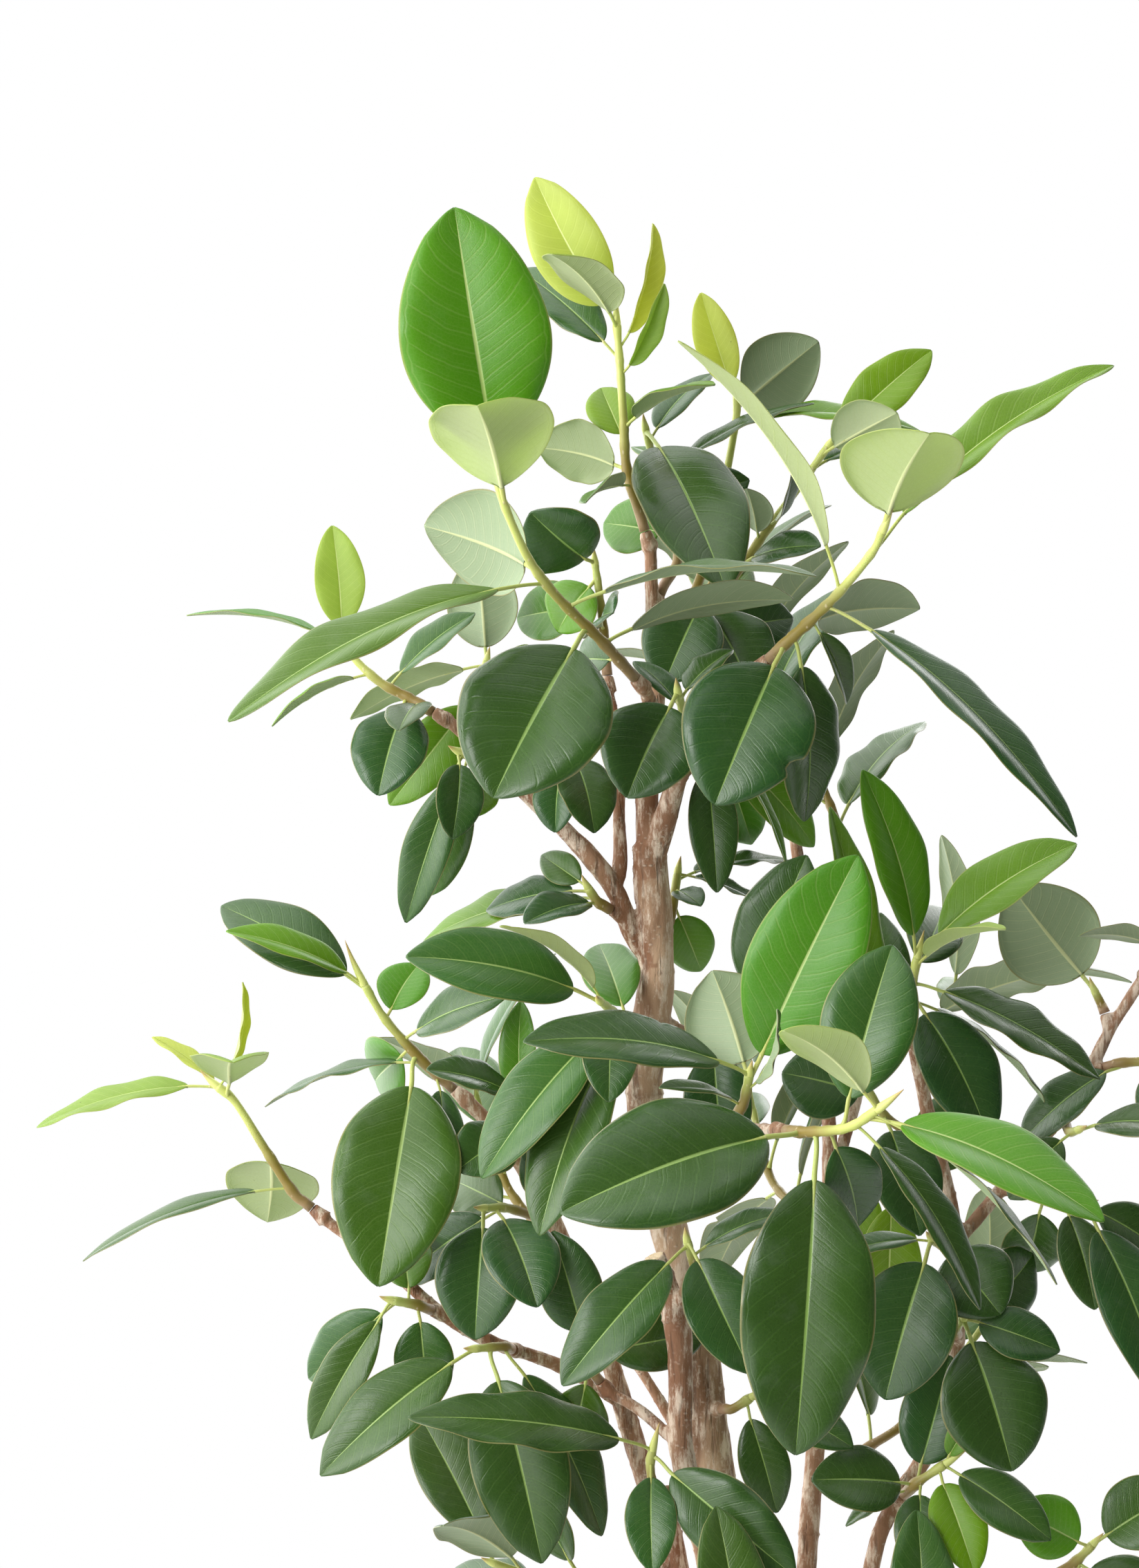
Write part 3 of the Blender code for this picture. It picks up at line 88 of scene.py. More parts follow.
# Stems: limbs of (row points, first radius, last radius) in centimetres.
# A limb after the first one starts inside the limb that carries it.
STEMS = {
    "main_stem": [
        ([(2.9, 1.6, 13.5), (2.85, 1.6, 24), (2.2, 1.6, 38), (1.5, 1.5, 50), (0.8, 1.5, 55.1),
          (0.1, 1.3, 60.5), (-1.3, 1, 66), (-2.05, 0.7, 70.7), (-1.55, 0.4, 76),
          (-1.85, 0.2, 81.4)], 1.15, 0.76),
        ([(-1.85, 0.2, 80.4), (-1.95, 0.1, 84.4), (-1.5, 0.8, 88), (-1.7, 0.9, 91.5),
          (-1.8, 0.6, 94.2)], 0.55, 0.26),
        ([(-1.8, 0.2, 80.2), (-1, -0.7, 83), (-0.4, -1.6, 84.9), (1, -4.2, 87.2),
          (2.8, -7, 88.9)], 0.52, 0.28),
        ([(-1.9, 0.1, 84.2), (-1.5, -3, 86.2), (-2, -6.4, 88.1)], 0.38, 0.27),
        ([(-1.6, 0.4, 76.2), (-2.5, 0.3, 77.4), (-3.6, -0.2, 79.8), (-5.5, -0.5, 82), (-7.4, -0.7, 83.8),
          (-9, -0.5, 85.3), (-10.5, -0.3, 86.7)], 0.46, 0.28),
        ([(-3.4, -0.1, 79.4), (-3.1, 0.3, 80.6), (-3.15, 0.6, 82.8), (-3.1, 1.4, 85.4),
          (-3.6, 2.4, 88)], 0.32, 0.22),
        ([(-1.75, 0.8, 67.4), (-0.6, -2, 68.2), (1.6, -6, 68.9), (3.6, -9, 69)], 0.36, 0.26),
    ],
    "front_stem": [
        ([(3.8, -2.6, 13.5), (3.7, -2.6, 26), (2.2, -2.7, 42), (0.8, -2.6, 50), (-0.06, -2.5, 53.4),
          (-0.5, -2.4, 55.4), (-0.5, -2.3, 57.6), (-0.6, -2.3, 60.2), (-1.1, -2.4, 62.2),
          (-1.65, -2.6, 63.5)], 0.78, 0.5),
        ([(-0.4, -2.4, 55.2), (-2.2, -1.5, 56.8), (-3.6, -1, 57.6)], 0.26, 0.22),
    ],
    "left_stem": [
        ([(1, 3.4, 13.5), (0.8, 3.4, 26), (0.1, 3.2, 42), (-0.75, 3, 50.7), (-1.8, 2.8, 53.4),
          (-2.8, 2.6, 56.5), (-3.9, 2.4, 60), (-6, 1.8, 65), (-8.2, 1.2, 68.6),
          (-9.7, 0.8, 70.2)], 0.85, 0.3),
        ([(-3, 2.5, 57.2), (-5, 1.5, 58.4), (-6.6, 0.6, 59.1), (-8.7, 0, 59.8), (-10.8, -0.2, 61),
          (-13, 0.3, 62.9), (-15.9, 0.4, 65.1)], 0.34, 0.24),
    ],
    "right_stem": [
        ([(5.4, 0.8, 13.5), (5.6, 0.9, 26), (6.8, 0.8, 42), (7.8, 0.6, 50), (8.8, 0.4, 52.8),
          (10.2, 0.6, 55), (11.3, 1, 58), (11.55, 1, 61), (11.4, 0.9, 65), (10.2, 0.3, 70),
          (9.5, -1, 73.4)], 0.55, 0.28),
        ([(11.4, 0.9, 64), (13.5, 1.6, 66.5), (16.6, 1, 70.4), (18.2, 0.8, 73.4),
          (19.6, 0.6, 75.6)], 0.3, 0.25),
        ([(7.2, 0.7, 45), (11, 0.2, 47.4), (15, -0.3, 49.2)], 0.32, 0.25),
    ],
    "back_stem": [
        ([(3.6, 5, 13.5), (3.9, 5.4, 30), (5, 7.5, 50), (6, 9, 68), (4.2, 10, 84)], 0.62, 0.28),
        ([(4.6, 6.6, 45), (0.5, 9, 54), (-5, 11, 63)], 0.32, 0.24),
        ([(5.9, 8.8, 66), (7.6, 10.6, 73), (7, 11.2, 80)], 0.3, 0.24),
    ],
}

# Which way a leaf's upper side faces.
FRONT = (0, -1, 0.2)
FRONT_UP = (0, -0.7, 0.7)
LEFT = (-0.6, -0.8, 0.2)
RIGHT = (0.6, -0.8, 0.2)
UP = (0, -0.25, 1)
AWAY = (0, 1, 0.4)

# Shoots: stem that carries it, twig's row points, and leaves of
# (how far up the twig 0-1, tip's row point, blade width in cm, facing, fold in degrees, youth 0-1).
SHOOTS = {
    "top_shoot": ("main_stem", [(-1.8, 0.6, 94.2), (-2.8, 0.3, 97.6), (-2.95, 0, 99.7), (-3.1, -0.3, 102),
        (-3.25, -0.5, 104)], [
        (1, (-6.8, -1.5, 110.3), 3.3, (-0.3, -1, 0.1), 18, 0.95),
        (0.97, (-7.1, -5, 107.6), 3.2, (0.3, 0.2, 1), 12, 0.65),
        (0.86, (-1.7, 0.4, 108.3), 1.8, (0.8, -0.6, 0), 40, 0.9),
        (0.74, (-1.2, -1.4, 105.7), 1.5, (0.6, -0.8, 0), 45, 0.8),
        (0.82, (-7.5, 3, 106.3), 2.4, (-0.3, -0.6, 0.8), 15, 0.1),
        (0.5, (1, -3.2, 101.3), 2.9, UP, 15, 0.5), (0.42, (-4, 1.8, 101.4), 2.2, FRONT, 15, 0.65),
        (0.3, (-6.7, 1.2, 98.6), 3.4, (0.1, 0.8, 0.7), 10, 0.55),
        (0.22, (-4.6, -3.5, 96.2), 2, (-0.5, 0.2, 1), 14, 0.2)]),
    "top_inner_shoot": ("main_stem", [(-1.7, 0.9, 91.8), (-0.6, 2.4, 94), (-1.4, 2.4, 97),
        (-2, 2.2, 99.4)], [
        (0.98, (1.5, -4.6, 92.4), 4.8, (0.2, -1, 0.3), 14, 0), (0.92, (0.9, 4.4, 101.8), 2, UP, 10, 0.1),
        (0.7, (5.3, 3.4, 100.5), 2, UP, 10, 0.05), (0.55, (2.5, 1.6, 97.2), 2.4, RIGHT, 12, 0),
        (0.4, (-3.8, 4.6, 95.3), 2.6, LEFT, 12, 0.3)]),
    "upper_right_shoot": ("main_stem", [(-1.6, 0.9, 89.8), (0.2, 3.4, 92.5), (1.2, 4.2, 96),
        (1.9, 4.2, 99.6), (1.95, 4.1, 100.8)], [
        (1, (0.4, 3, 105.3), 2, (-0.2, -1, 0), 22, 0.9),
        (0.95, (5.5, 6, 103.2), 3.6, (0.2, 0.9, 0.4), 8, 0.05),
        (0.9, (9.9, 3.6, 99.3), 2.6, (0, -0.4, 1), 14, 0.35), (0.6, (-2.6, 7, 98.6), 2.6, UP, 10, 0.2)]),
    "right_top_shoot": ("main_stem", [(-1.55, 0.8, 88.9), (1.4, 1.8, 92.4), (3.4, 2, 95.2), (4.6, 2, 96.8),
        (5.95, 1.8, 98.7)], [
        (1, (10.4, 1.6, 102.8), 2.5, (-0.3, -1, 0.2), 14, 0.6),
        (0.95, (8.9, -2.2, 100.1), 2.8, (0.2, 0.9, 0.5), 8, 0.55), (0.88, (9.4, 6, 98.6), 2.4, UP, 8, 0.1),
        (0.55, (2.4, 0, 96.8), 1.8, UP, 12, 0.05), (0.45, (5.6, -0.8, 94.3), 2.4, FRONT_UP, 10, 0),
        (0.62, (4.4, -1.2, 97.9), 1.2, RIGHT, 20, 0.05)]),
    "near_left_shoot": ("main_stem", [(-2, -6.4, 88.1), (-4, -8.5, 90.3), (-6, -10.3, 92.3),
        (-7.2, -11.4, 94), (-8.2, -12.4, 96.3), (-8.5, -12.6, 97.4)], [
        (1, (-10.3, -14, 109), 6, (0.1, -1, 0), 12, 0.5),
        (0.88, (-9.3, -17, 100.4), 5.4, (0, 0.6, 0.8), 26, 0.85),
        (0.6, (-11.6, -8, 95.2), 4.6, (0.2, 0.9, 0.5), 8, 0.05),
        (0.55, (-20.1, -17, 86.7), 3.2, (0, -0.45, 1), 12, 0.25),
        (0.42, (5.4, -11.5, 93), 3.2, (0.1, -0.15, 1), 14, 0.1),
        (0.3, (-8.6, -12.5, 83.4), 6.3, (-0.1, -1, 0.4), 10, 0),
        (0.2, (4.4, -5.6, 92), 3.2, (0.2, 0.5, 1), 12, 0.05), (0.1, (-4.9, -4.6, 89.4), 2, LEFT, 16, 0.1)]),
    "near_right_shoot": ("main_stem", [(2.8, -7, 88.9), (6.1, -10, 92), (7.8, -11.6, 94),
        (8.3, -12.2, 95)], [
        (1, (10.3, -16.2, 99.2), 5.4, (-0.1, 0.7, 0.7), 24, 0.85),
        (0.85, (19.3, -15, 102.9), 2.8, (-0.4, -0.6, 0.7), 22, 0.45),
        (0.58, (-0.6, -14.5, 103.2), 2.6, (0.9, 0.1, 0.4), 30, 0.75),
        (0.12, (1, -10.6, 83.1), 5.4, (0, -1, 0.3), 8, 0),
        (0.46, (16.7, -13, 81.7), 2.9, (0.3, -0.5, 0.8), 12, 0.05),
        (0.2, (4.9, -6, 82.4), 3.4, RIGHT, 10, 0), (0.34, (6.7, -7, 87.5), 1.5, RIGHT, 30, 0.1),
        (0.3, (9.9, -5.5, 91.6), 2.9, (0.1, 0.8, 0.6), 10, 0.05)]),
    "fork_front_shoot": ("main_stem", [(0.2, -2.9, 86.2), (0, -5.2, 85.6), (-0.6, -7, 88)], [
        (1, (-2.8, -8.4, 83.4), 4.2, (-0.1, -1, 0.3), 12, 0), (0.75, (-2.5, -4.4, 89.3), 1.6, UP, 14, 0.05),
        (0.9, (1.8, -6.2, 89.8), 2.2, UP, 14, 0.1)]),
    "crown_low_shoot": ("main_stem", [(-1.5, 0.8, 87.6), (0, 0.2, 90.2), (0.6, -0.6, 92.2)], [
        (1, (-1.2, -2.6, 88.3), 3.6, (-0.1, -1, 0.4), 12, 0),
        (0.9, (2.6, -2.4, 88), 3.8, (0.2, -1, 0.4), 12, 0), (0.5, (4.4, 2.4, 91.2), 2.6, RIGHT, 12, 0.05)]),
    "crown_left_shoot": ("main_stem", [(-3.6, 2.4, 88), (-3.9, 2.9, 91.4), (-4.2, 2.8, 93.6)], [
        (1, (-7, 0.6, 95.8), 3.8, LEFT, 10, 0), (0.85, (-5.8, 3, 90.6), 3.2, LEFT, 10, 0.35),
        (0.6, (-7.8, 4.6, 91.2), 2.8, LEFT, 10, 0.25), (0.4, (-3.4, -1.2, 91.9), 2.6, FRONT, 12, 0)]),
    "left_shoot": ("main_stem", [(-10.5, -0.3, 86.7), (-12.4, 0, 87.8), (-13.5, 0, 88.4), (-14.5, 0, 89.3),
        (-15.2, 0, 90.2)], [
        (1, (-15.6, -0.6, 95.2), 2.3, (0.2, -1, 0), 20, 0.8),
        (0.95, (-21.9, 1.2, 91.3), 2, (0, -0.1, 1), 14, 0.3),
        (0.62, (-18.2, -1, 86.5), 2, (0, 0.2, 1), 14, 0.5),
        (0.42, (-9.4, 0.6, 91.4), 2.1, (-0.5, -0.6, 0.5), 14, 0.15),
        (0.25, (-13.6, -2.2, 83.5), 3.4, (-0.1, -1, 0.4), 10, 0.1),
        (0.12, (-12.7, -4.2, 86.3), 2, (0, 0.3, 1), 12, 0.05)]),
    "left_back_shoot": ("main_stem", [(-9, -0.5, 85.3), (-9.2, 1.6, 87.4), (-8.9, 2.2, 89.3)], [
        (0.95, (-14.8, 3.4, 86.8), 2.2, (0, 0.5, 1), 12, 0.45), (1, (-9.3, 3.4, 94), 3.2, AWAY, 10, 0.1),
        (0.7, (-13.1, 2.4, 83.1), 2.6, FRONT, 10, 0.4), (0.85, (-5.8, 5, 88.4), 3, FRONT, 10, 0.5)]),
    "limb_hanging_shoot": ("main_stem", [(-8.2, -0.6, 84.6), (-9.3, -2, 85.1), (-10.1, -2.6, 85.4)], [
        (1, (-10.4, -3.4, 81.6), 2.2, (0.4, -1, 0.2), 16, 0),
        (0.85, (-12.4, -1.6, 78), 2.2, (-0.2, -1, 0.2), 18, 0.15),
        (0.7, (-11.3, 0.6, 79.2), 2.3, FRONT, 14, 0.15),
        (0.4, (-9.6, -0.8, 82.4), 2, (0.3, -1, 0.4), 14, 0.35)]),
    "limb_top_shoot": ("main_stem", [(-6.2, -0.6, 82.7), (-5.9, -1.8, 84.6), (-5.3, -2.2, 85.6)], [
        (0.8, (-5.9, -3.2, 81.9), 2.1, (-0.3, -1, 0.2), 16, 0),
        (1, (-4.1, -2.6, 81.4), 2.7, (0.4, -1, 0.2), 12, 0),
        (0.9, (-8.2, 1, 87.8), 3.2, FRONT_UP, 12, 0.1)]),
    "limb_under_shoot": ("main_stem", [(-3, 0.1, 78.4), (-4.1, -0.9, 78.9), (-4.5, -1.2, 79.5)], [
        (0.85, (-8.9, 0.4, 78.5), 2.6, (0, -0.7, 0.9), 8, 0.05),
        (0.35, (-7.5, -2.8, 77.9), 2.3, (0, -0.6, 1), 16, 0),
        (0.6, (-11.6, 3, 77.2), 2.6, (0, -0.6, 0.8), 10, 0.4),
        (1, (-6.5, 0.6, 80.9), 1.5, FRONT, 12, 0.15)]),
    "middle_left_shoot": ("main_stem", [(-2, 0.7, 72.6), (-3, -3.2, 73.8), (-4, -6.4, 74.6)], [
        (1, (-12.4, -8.5, 76.5), 3.7, (0, -0.8, 0.7), 10, 0.15),
        (0.85, (-8.3, -10.8, 77.8), 1.8, (0.3, 0.2, 1), 24, 0.7),
        (0.55, (-9.1, -6.2, 66.9), 3.4, (-0.3, -0.8, 0.6), 14, 0.15),
        (0.7, (-3.6, -7.4, 70.2), 2.4, FRONT, 12, 0.1),
        (0.4, (-6.6, -7.2, 64.4), 3.4, (-0.4, -0.9, 0.3), 12, 0.1),
        (0.3, (-2.2, 3.2, 78), 2.6, FRONT, 10, 0.3)]),
    "front_shoot": ("main_stem", [(1.6, -6, 68.9), (2.3, -7.2, 70.3), (2.5, -7.9, 71.4)], [
        (1, (-7.3, -11.5, 72.8), 3.7, (0, -0.5, 0.8), 10, 0.05), (0.9, (0.9, -6.2, 75.9), 4, AWAY, 8, 0.05),
        (0.6, (3.7, -11.5, 74.2), 1.4, (1, -0.2, 0), 12, 0),
        (0.7, (7.2, -9, 80.9), 4.6, (-0.2, -1, 0), 10, 0.5), (0.3, (-1.4, -9, 70.8), 1.8, UP, 12, 0.15)]),
    "near_front_shoot": ("main_stem", [(3.6, -9, 69), (5, -11, 68.9), (6.8, -13, 69.1),
        (8.1, -14.2, 69.9)], [
        (1, (4, -18, 73.3), 2.8, (-0.5, -0.3, 0.8), 22, 0.85),
        (0.62, (8.7, -11.2, 77), 3.8, (-0.2, -1, 0.1), 10, 0.15),
        (0.85, (17.9, -17.5, 65), 3.7, (0.2, -0.6, 0.8), 12, 0.4),
        (0.75, (12.5, -14.6, 61.2), 2.4, (0.8, -0.6, 0.2), 14, 0.05),
        (0.92, (15.1, -20, 62.9), 2, (0.5, 0.1, 1), 10, 0.15),
        (0.34, (4.5, -14, 54.9), 5.4, (0.1, -1, 0.2), 10, 0),
        (0.18, (-5.7, -14.5, 65.4), 5.6, (-0.1, -0.9, 0.6), 10, 0.05),
        (0.48, (7.2, -9.5, 64.8), 2.8, (0.2, -1, 0.3), 10, 0)]),
    "right_shoot": ("right_stem", [(9.5, -1, 73.4), (9.5, -2.6, 75), (9.8, -3, 76.5)], [
        (1, (16.7, -2.6, 81.4), 3.1, (-0.3, -0.7, 0.7), 16, 0.4),
        (0.85, (13.9, -7, 77.9), 2, (0.1, -0.3, 1), 24, 0.85),
        (0.6, (17.7, -4, 71.2), 2.8, (0, -0.6, 1), 10, 0),
        (0.45, (12.9, -4.2, 68.6), 3.5, (0.3, -1, 0.2), 10, 0),
        (0.9, (7.4, -5, 84.6), 2.7, (0.5, -0.9, 0), 16, 0.4), (0.7, (10.9, 1.6, 78.6), 2.6, FRONT, 10, 0),
        (0.3, (15.3, 0.4, 70.2), 2.4, UP, 10, 0.05)]),
    "right_inner_shoot": ("right_stem", [(10.6, 0.4, 68.4), (8.4, -1.4, 69.6), (7.4, -2, 71.2)], [
        (1, (8.2, 0.6, 78.4), 3.2, FRONT, 10, 0.05), (0.8, (4, -2.2, 71.4), 3.4, (-0.2, -1, 0.3), 12, 0.05),
        (0.6, (9.9, -3.6, 64.4), 3.2, (0.2, -1, 0.3), 12, 0),
        (0.9, (5.8, 2.4, 82.3), 2.2, (0.5, -0.9, 0), 24, 0.3)]),
    "fork_right_shoot": ("main_stem", [(-0.7, -1.1, 84), (0.4, 0.6, 85.2), (0.9, 1.2, 86.2)], [
        (0.7, (1.1, -0.4, 79.3), 2.2, (0.1, -1, 0.2), 12, 0),
        (0.9, (5.3, 3.4, 81.3), 2.4, (-0.1, -0.9, 0.5), 10, 0.35),
        (1, (2.6, 5.4, 81.4), 2.4, FRONT, 10, 0.3),
        (0.95, (4.1, 0.8, 80.3), 1.2, (0.9, -0.4, 0.2), 20, 0.3)]),
    "trunk_twig_shoot": ("main_stem", [(-1.6, 0.4, 76.6), (-0.9, 2, 78.2), (-0.6, 2.2, 80.2)], [
        (0.95, (3.6, 2.2, 78.3), 1.6, UP, 12, 0.05), (0.7, (0.4, 0, 78.7), 1.4, (0, -0.6, 0.8), 14, 0.05),
        (0.5, (0.4, 4.4, 75.9), 2.2, FRONT, 10, 0.35), (0.85, (4.4, 5.2, 79.9), 2.2, UP, 10, 0.05)]),
    "trunk_side_shoot": ("main_stem", [(-1.8, 0.6, 73.4), (0.4, 1, 73), (2.4, 0.6, 73.9)], [
        (1, (5, -0.4, 80.9), 3.8, (-0.4, -1, 0.1), 10, 0), (0.8, (5.4, 3, 74.4), 3, FRONT_UP, 10, 0.05),
        (0.5, (1.4, -0.6, 67.6), 3, FRONT, 10, 0.05)]),
    "mid_left_shoot": ("left_stem", [(-9.7, 0.8, 70.2), (-11.6, 0.4, 71.9), (-13.3, 0, 73.8),
        (-14.2, -0.2, 75.3)], [
        (0.36, (-13.6, -4.2, 62.2), 5.5, (0, -1, 0.2), 9, 0.15),
        (1, (-20.2, -1.4, 77.6), 2.3, (0.1, -0.5, 0.9), 18, 0.5),
        (0.93, (-20.4, 2.4, 78.7), 3.1, (0, -0.8, 0.6), 10, 0),
        (0.7, (-11.8, 1.6, 76.2), 2.4, (-0.3, -1, 0.2), 12, 0.4),
        (0.28, (-18.5, 2.6, 70), 2, (0, -0.2, 1), 10, 0.1),
        (0.42, (-14.4, 4, 70.4), 3.2, (0, -1, 0.2), 8, 0.35),
        (0.5, (-8, -2.2, 74.8), 2.6, (0, -0.7, 0.7), 12, 0.1),
        (0.15, (-10.8, -1.8, 66.4), 1.8, (0.2, -0.5, 0.6), 12, 0.1)]),
    "mid_left_inner_shoot": ("left_stem", [(-7.6, 1.4, 67.6), (-7.4, -0.6, 69), (-7.2, -1.6, 70.2)], [
        (1, (-11.5, -3.4, 71.6), 2.3, (0, -0.6, 0.9), 14, 0),
        (0.9, (-4.4, -1.8, 72), 2.3, (0, -0.6, 0.9), 12, 0),
        (0.7, (-7.4, -0.6, 74.6), 1.8, (-0.3, -1, 0.2), 20, 0.3),
        (0.45, (-10.2, -2.8, 67.2), 2.8, (-0.2, -1, 0.3), 12, 0),
        (0.6, (-5.3, 1.8, 66), 3, FRONT, 12, 0.05)]),
    "left_low_shoot": ("left_stem", [(-6.2, 1.7, 65.2), (-8, -0.4, 65.6), (-9, -1.2, 65.6)], [
        (1, (-9.4, -2.6, 59.9), 3.8, (-0.1, -1, 0.3), 12, 0),
        (0.8, (-6.7, -4.2, 61.3), 3.4, (0.2, -0.9, 0.5), 12, 0.1),
        (0.5, (-10.3, 3.4, 66.8), 2.6, FRONT, 10, 0.15), (0.7, (-12.6, 2.6, 62.4), 2.4, LEFT, 10, 0.1)]),
    "far_left_shoot": ("left_stem", [(-15.9, 0.4, 65.1), (-17.3, 0.3, 66.3), (-18.6, 0.2, 68.3),
        (-19.8, 0.1, 70.2), (-20.6, 0, 70.9)], [
        (1, (-28.4, 0.4, 69.1), 2.3, (0, -0.35, 1), 10, 0.75),
        (0.97, (-19.5, -0.4, 75.4), 1.2, (1, -0.2, 0), 26, 0.75),
        (0.9, (-19.9, -7.6, 71.9), 3.4, (0, 0, 1), 14, 0.7),
        (0.42, (-18.4, 4.4, 65), 4.2, (0, 0.9, 0.2), 8, 0.65),
        (0.18, (-26.4, 0.4, 63.3), 2, (0, -0.2, 1), 10, 0.1),
        (0.94, (-23.4, 1.8, 73), 1, (0, -0.4, 0.9), 20, 0.9)]),
    "lower_left_shoot": ("left_stem", [(-10.8, -0.2, 61), (-11.9, -1.4, 61.4), (-13, -1.8, 61.6)], [
        (1, (-16.5, -2.2, 55.6), 2.2, (-0.2, -1, 0.3), 14, 0.15),
        (0.85, (-16.6, 0.2, 58.2), 2.6, (-0.1, -1, 0.4), 10, 0.15),
        (0.4, (-11.4, -0.8, 57.2), 2.6, FRONT, 10, 0.1), (0.6, (-12.4, 2, 64.6), 2.4, FRONT, 10, 0.2)]),
    "lower_left_inner_shoot": ("left_stem", [(-7.2, 0.4, 59.3), (-8.2, -1.6, 59.6), (-9.4, -2.4, 59.5)], [
        (1, (-16.1, -4.4, 54), 3.3, (-0.2, -0.8, 0.6), 10, 0.15),
        (0.7, (-6.5, -3.6, 50.2), 4.2, (0, -1, 0.2), 10, 0.1),
        (0.4, (-3.9, -0.8, 51.4), 2.8, RIGHT, 10, 0.15)]),
    "front_spur_shoot": ("front_stem", [(-0.1, -2.5, 53.3), (-1.6, -3.4, 53.3), (-1.8, -3.8, 54.4),
        (-1.7, -4, 55.1)], [
        (1, (-12.3, -7.2, 56.5), 2.9, (0, -0.7, 0.8), 8, 0.1),
        (0.9, (4.5, -6.4, 49.6), 3.3, (-0.2, -1, 0.3), 8, 0.05),
        (0.8, (-1.7, -6.4, 49.8), 2.2, FRONT, 10, 0.1)]),
    "front_top_shoot": ("front_stem", [(-0.9, -2.4, 61.4), (0.2, -3.6, 62.6), (-0.2, -4.6, 64.2)], [
        (1, (2.6, -6.4, 58.4), 3.1, (0.1, -1, 0.3), 12, 0.05),
        (0.9, (-5.6, -7.2, 57.9), 3.1, (-0.3, -0.9, 0.5), 12, 0.1),
        (0.7, (4.4, -4, 65.4), 2.4, UP, 10, 0.1)]),
    "front_side_shoot": ("front_stem", [(-3.6, -1, 57.6), (-4.4, -1.4, 58.6), (-4.6, -1.6, 59.6)], [
        (1, (-6, -2.6, 64.4), 2.8, (0.1, -1, 0.2), 12, 0.1), (0.8, (0.6, 0.2, 60.2), 2.6, FRONT, 10, 0),
        (0.5, (-5.4, 0.4, 54.2), 2.8, FRONT, 10, 0.15)]),
    "front_right_leaves": ("main_stem", [(0.5, 1.4, 57), (1.8, -0.4, 56.9), (2.6, -1, 57.4)], [
        (1, (7, -2.6, 55.2), 2.4, (0, -0.8, 0.8), 10, 0.05), (0.8, (3.7, -1, 52.4), 2.2, FRONT, 10, 0.1),
        (0.9, (5.6, 1.4, 61.2), 2.8, FRONT, 10, 0)]),
    "lower_right_shoot": ("right_stem", [(9, 0.4, 53.1), (9.8, -1.2, 53.7), (11, -1.6, 54.5)], [
        (0.42, (11.2, -0.2, 59.2), 3, (-0.2, -1, 0), 10, 0),
        (0.36, (5.2, -2.4, 53.8), 3, (0, -0.9, 0.6), 8, 0.05),
        (0.5, (9.9, -3.6, 49.4), 2.3, (0, -1, 0.2), 10, 0.05),
        (0.85, (12.3, -3.2, 49.6), 2.4, (0, -1, 0.2), 10, 0.45),
        (0.95, (15.6, -2.4, 51.3), 2.5, (0.1, -0.9, 0.6), 10, 0.1),
        (1, (12.5, -1.8, 57.2), 1.2, (-0.4, -1, 0), 22, 0.6), (0.2, (6.7, -0.8, 51.8), 1.4, UP, 10, 0.15)]),
    "right_low_shoot": ("right_stem", [(11.55, 1, 60.3), (11.5, -0.9, 60.4), (11.8, -1.7, 60.8)], [
        (0.95, (13.9, -3.4, 54.2), 4.7, (0.1, -1, 0.3), 10, 0.05),
        (1, (15.9, -1.6, 59.5), 2.4, (0, -0.9, 0.6), 10, 0.1),
        (0.6, (14.8, 2, 63.6), 3.2, RIGHT, 10, 0.05)]),
    "right_mid_shoot": ("right_stem", [(11.45, 0.9, 63.6), (10.8, -0.8, 64), (10.4, -1.5, 64.3)], [
        (0.95, (8.4, -2.6, 57.3), 4.5, (-0.2, -1, 0.3), 10, 0.05),
        (0.8, (5.6, -1.6, 63.2), 2, UP, 10, 0.15), (0.5, (13.2, -3, 61.2), 3.8, (0.1, -1, 0.3), 10, 0)]),
    "right_back_leaves": ("right_stem", [(11.3, 0.8, 65.4), (9.4, 4.2, 66.6), (8, 6, 67.2)], [
        (1, (5.8, 7, 62.4), 3, FRONT, 10, 0.6), (0.8, (8.4, 6.6, 59.6), 3, FRONT, 10, 0.6),
        (0.6, (12.4, 6.4, 70.4), 3.2, FRONT, 10, 0.1)]),
    "right_edge_low_shoot": ("right_stem", [(13.6, 1.6, 66.7), (15.3, 0.4, 66), (17, -0.4, 65.9)], [
        (0.7, (17.5, -1.6, 61.2), 2.4, (0.2, -1, 0.2), 12, 0.1),
        (1, (20.4, -1.2, 57.2), 3.2, (0.2, -1, 0.3), 10, 0.05),
        (0.9, (21.6, 0.4, 62.6), 2.8, (0.2, -0.9, 0.5), 10, 0.05),
        (0.4, (14.4, 3.6, 62.8), 2.8, FRONT, 10, 0.1)]),
    "right_edge_shoot": ("right_stem", [(17, 1, 71.2), (18.6, 0.2, 71.9), (20.2, -0.2, 72)], [
        (1, (24.6, -0.6, 68.9), 3, (0.2, -0.8, 0.6), 10, 0.1),
        (0.7, (21.4, -2.6, 67.2), 2.8, (0.1, -0.9, 0.5), 10, 0.05),
        (0.4, (14.6, 3.4, 69.4), 2.6, (0, -0.6, 0.9), 10, 0.05),
        (0.9, (23.2, 2.4, 76), 2.8, FRONT, 10, 0.2)]),
    "right_edge_top_shoot": ("right_stem", [(18.2, 0.8, 73.4), (17.8, 0.9, 74.4), (17.5, 0.9, 75)], [
        (1, (13.9, 1.6, 79.5), 4.6, (-0.2, 0.9, 0.4), 8, 0.1)]),
    "right_edge_tip_shoot": ("right_stem", [(19.6, 0.6, 75.6), (20.4, 0.4, 76.8), (21, 0.2, 78.4)], [
        (0.3, (16.8, -1.4, 77.4), 1.7, (0, 0.5, 0.9), 12, 0.2),
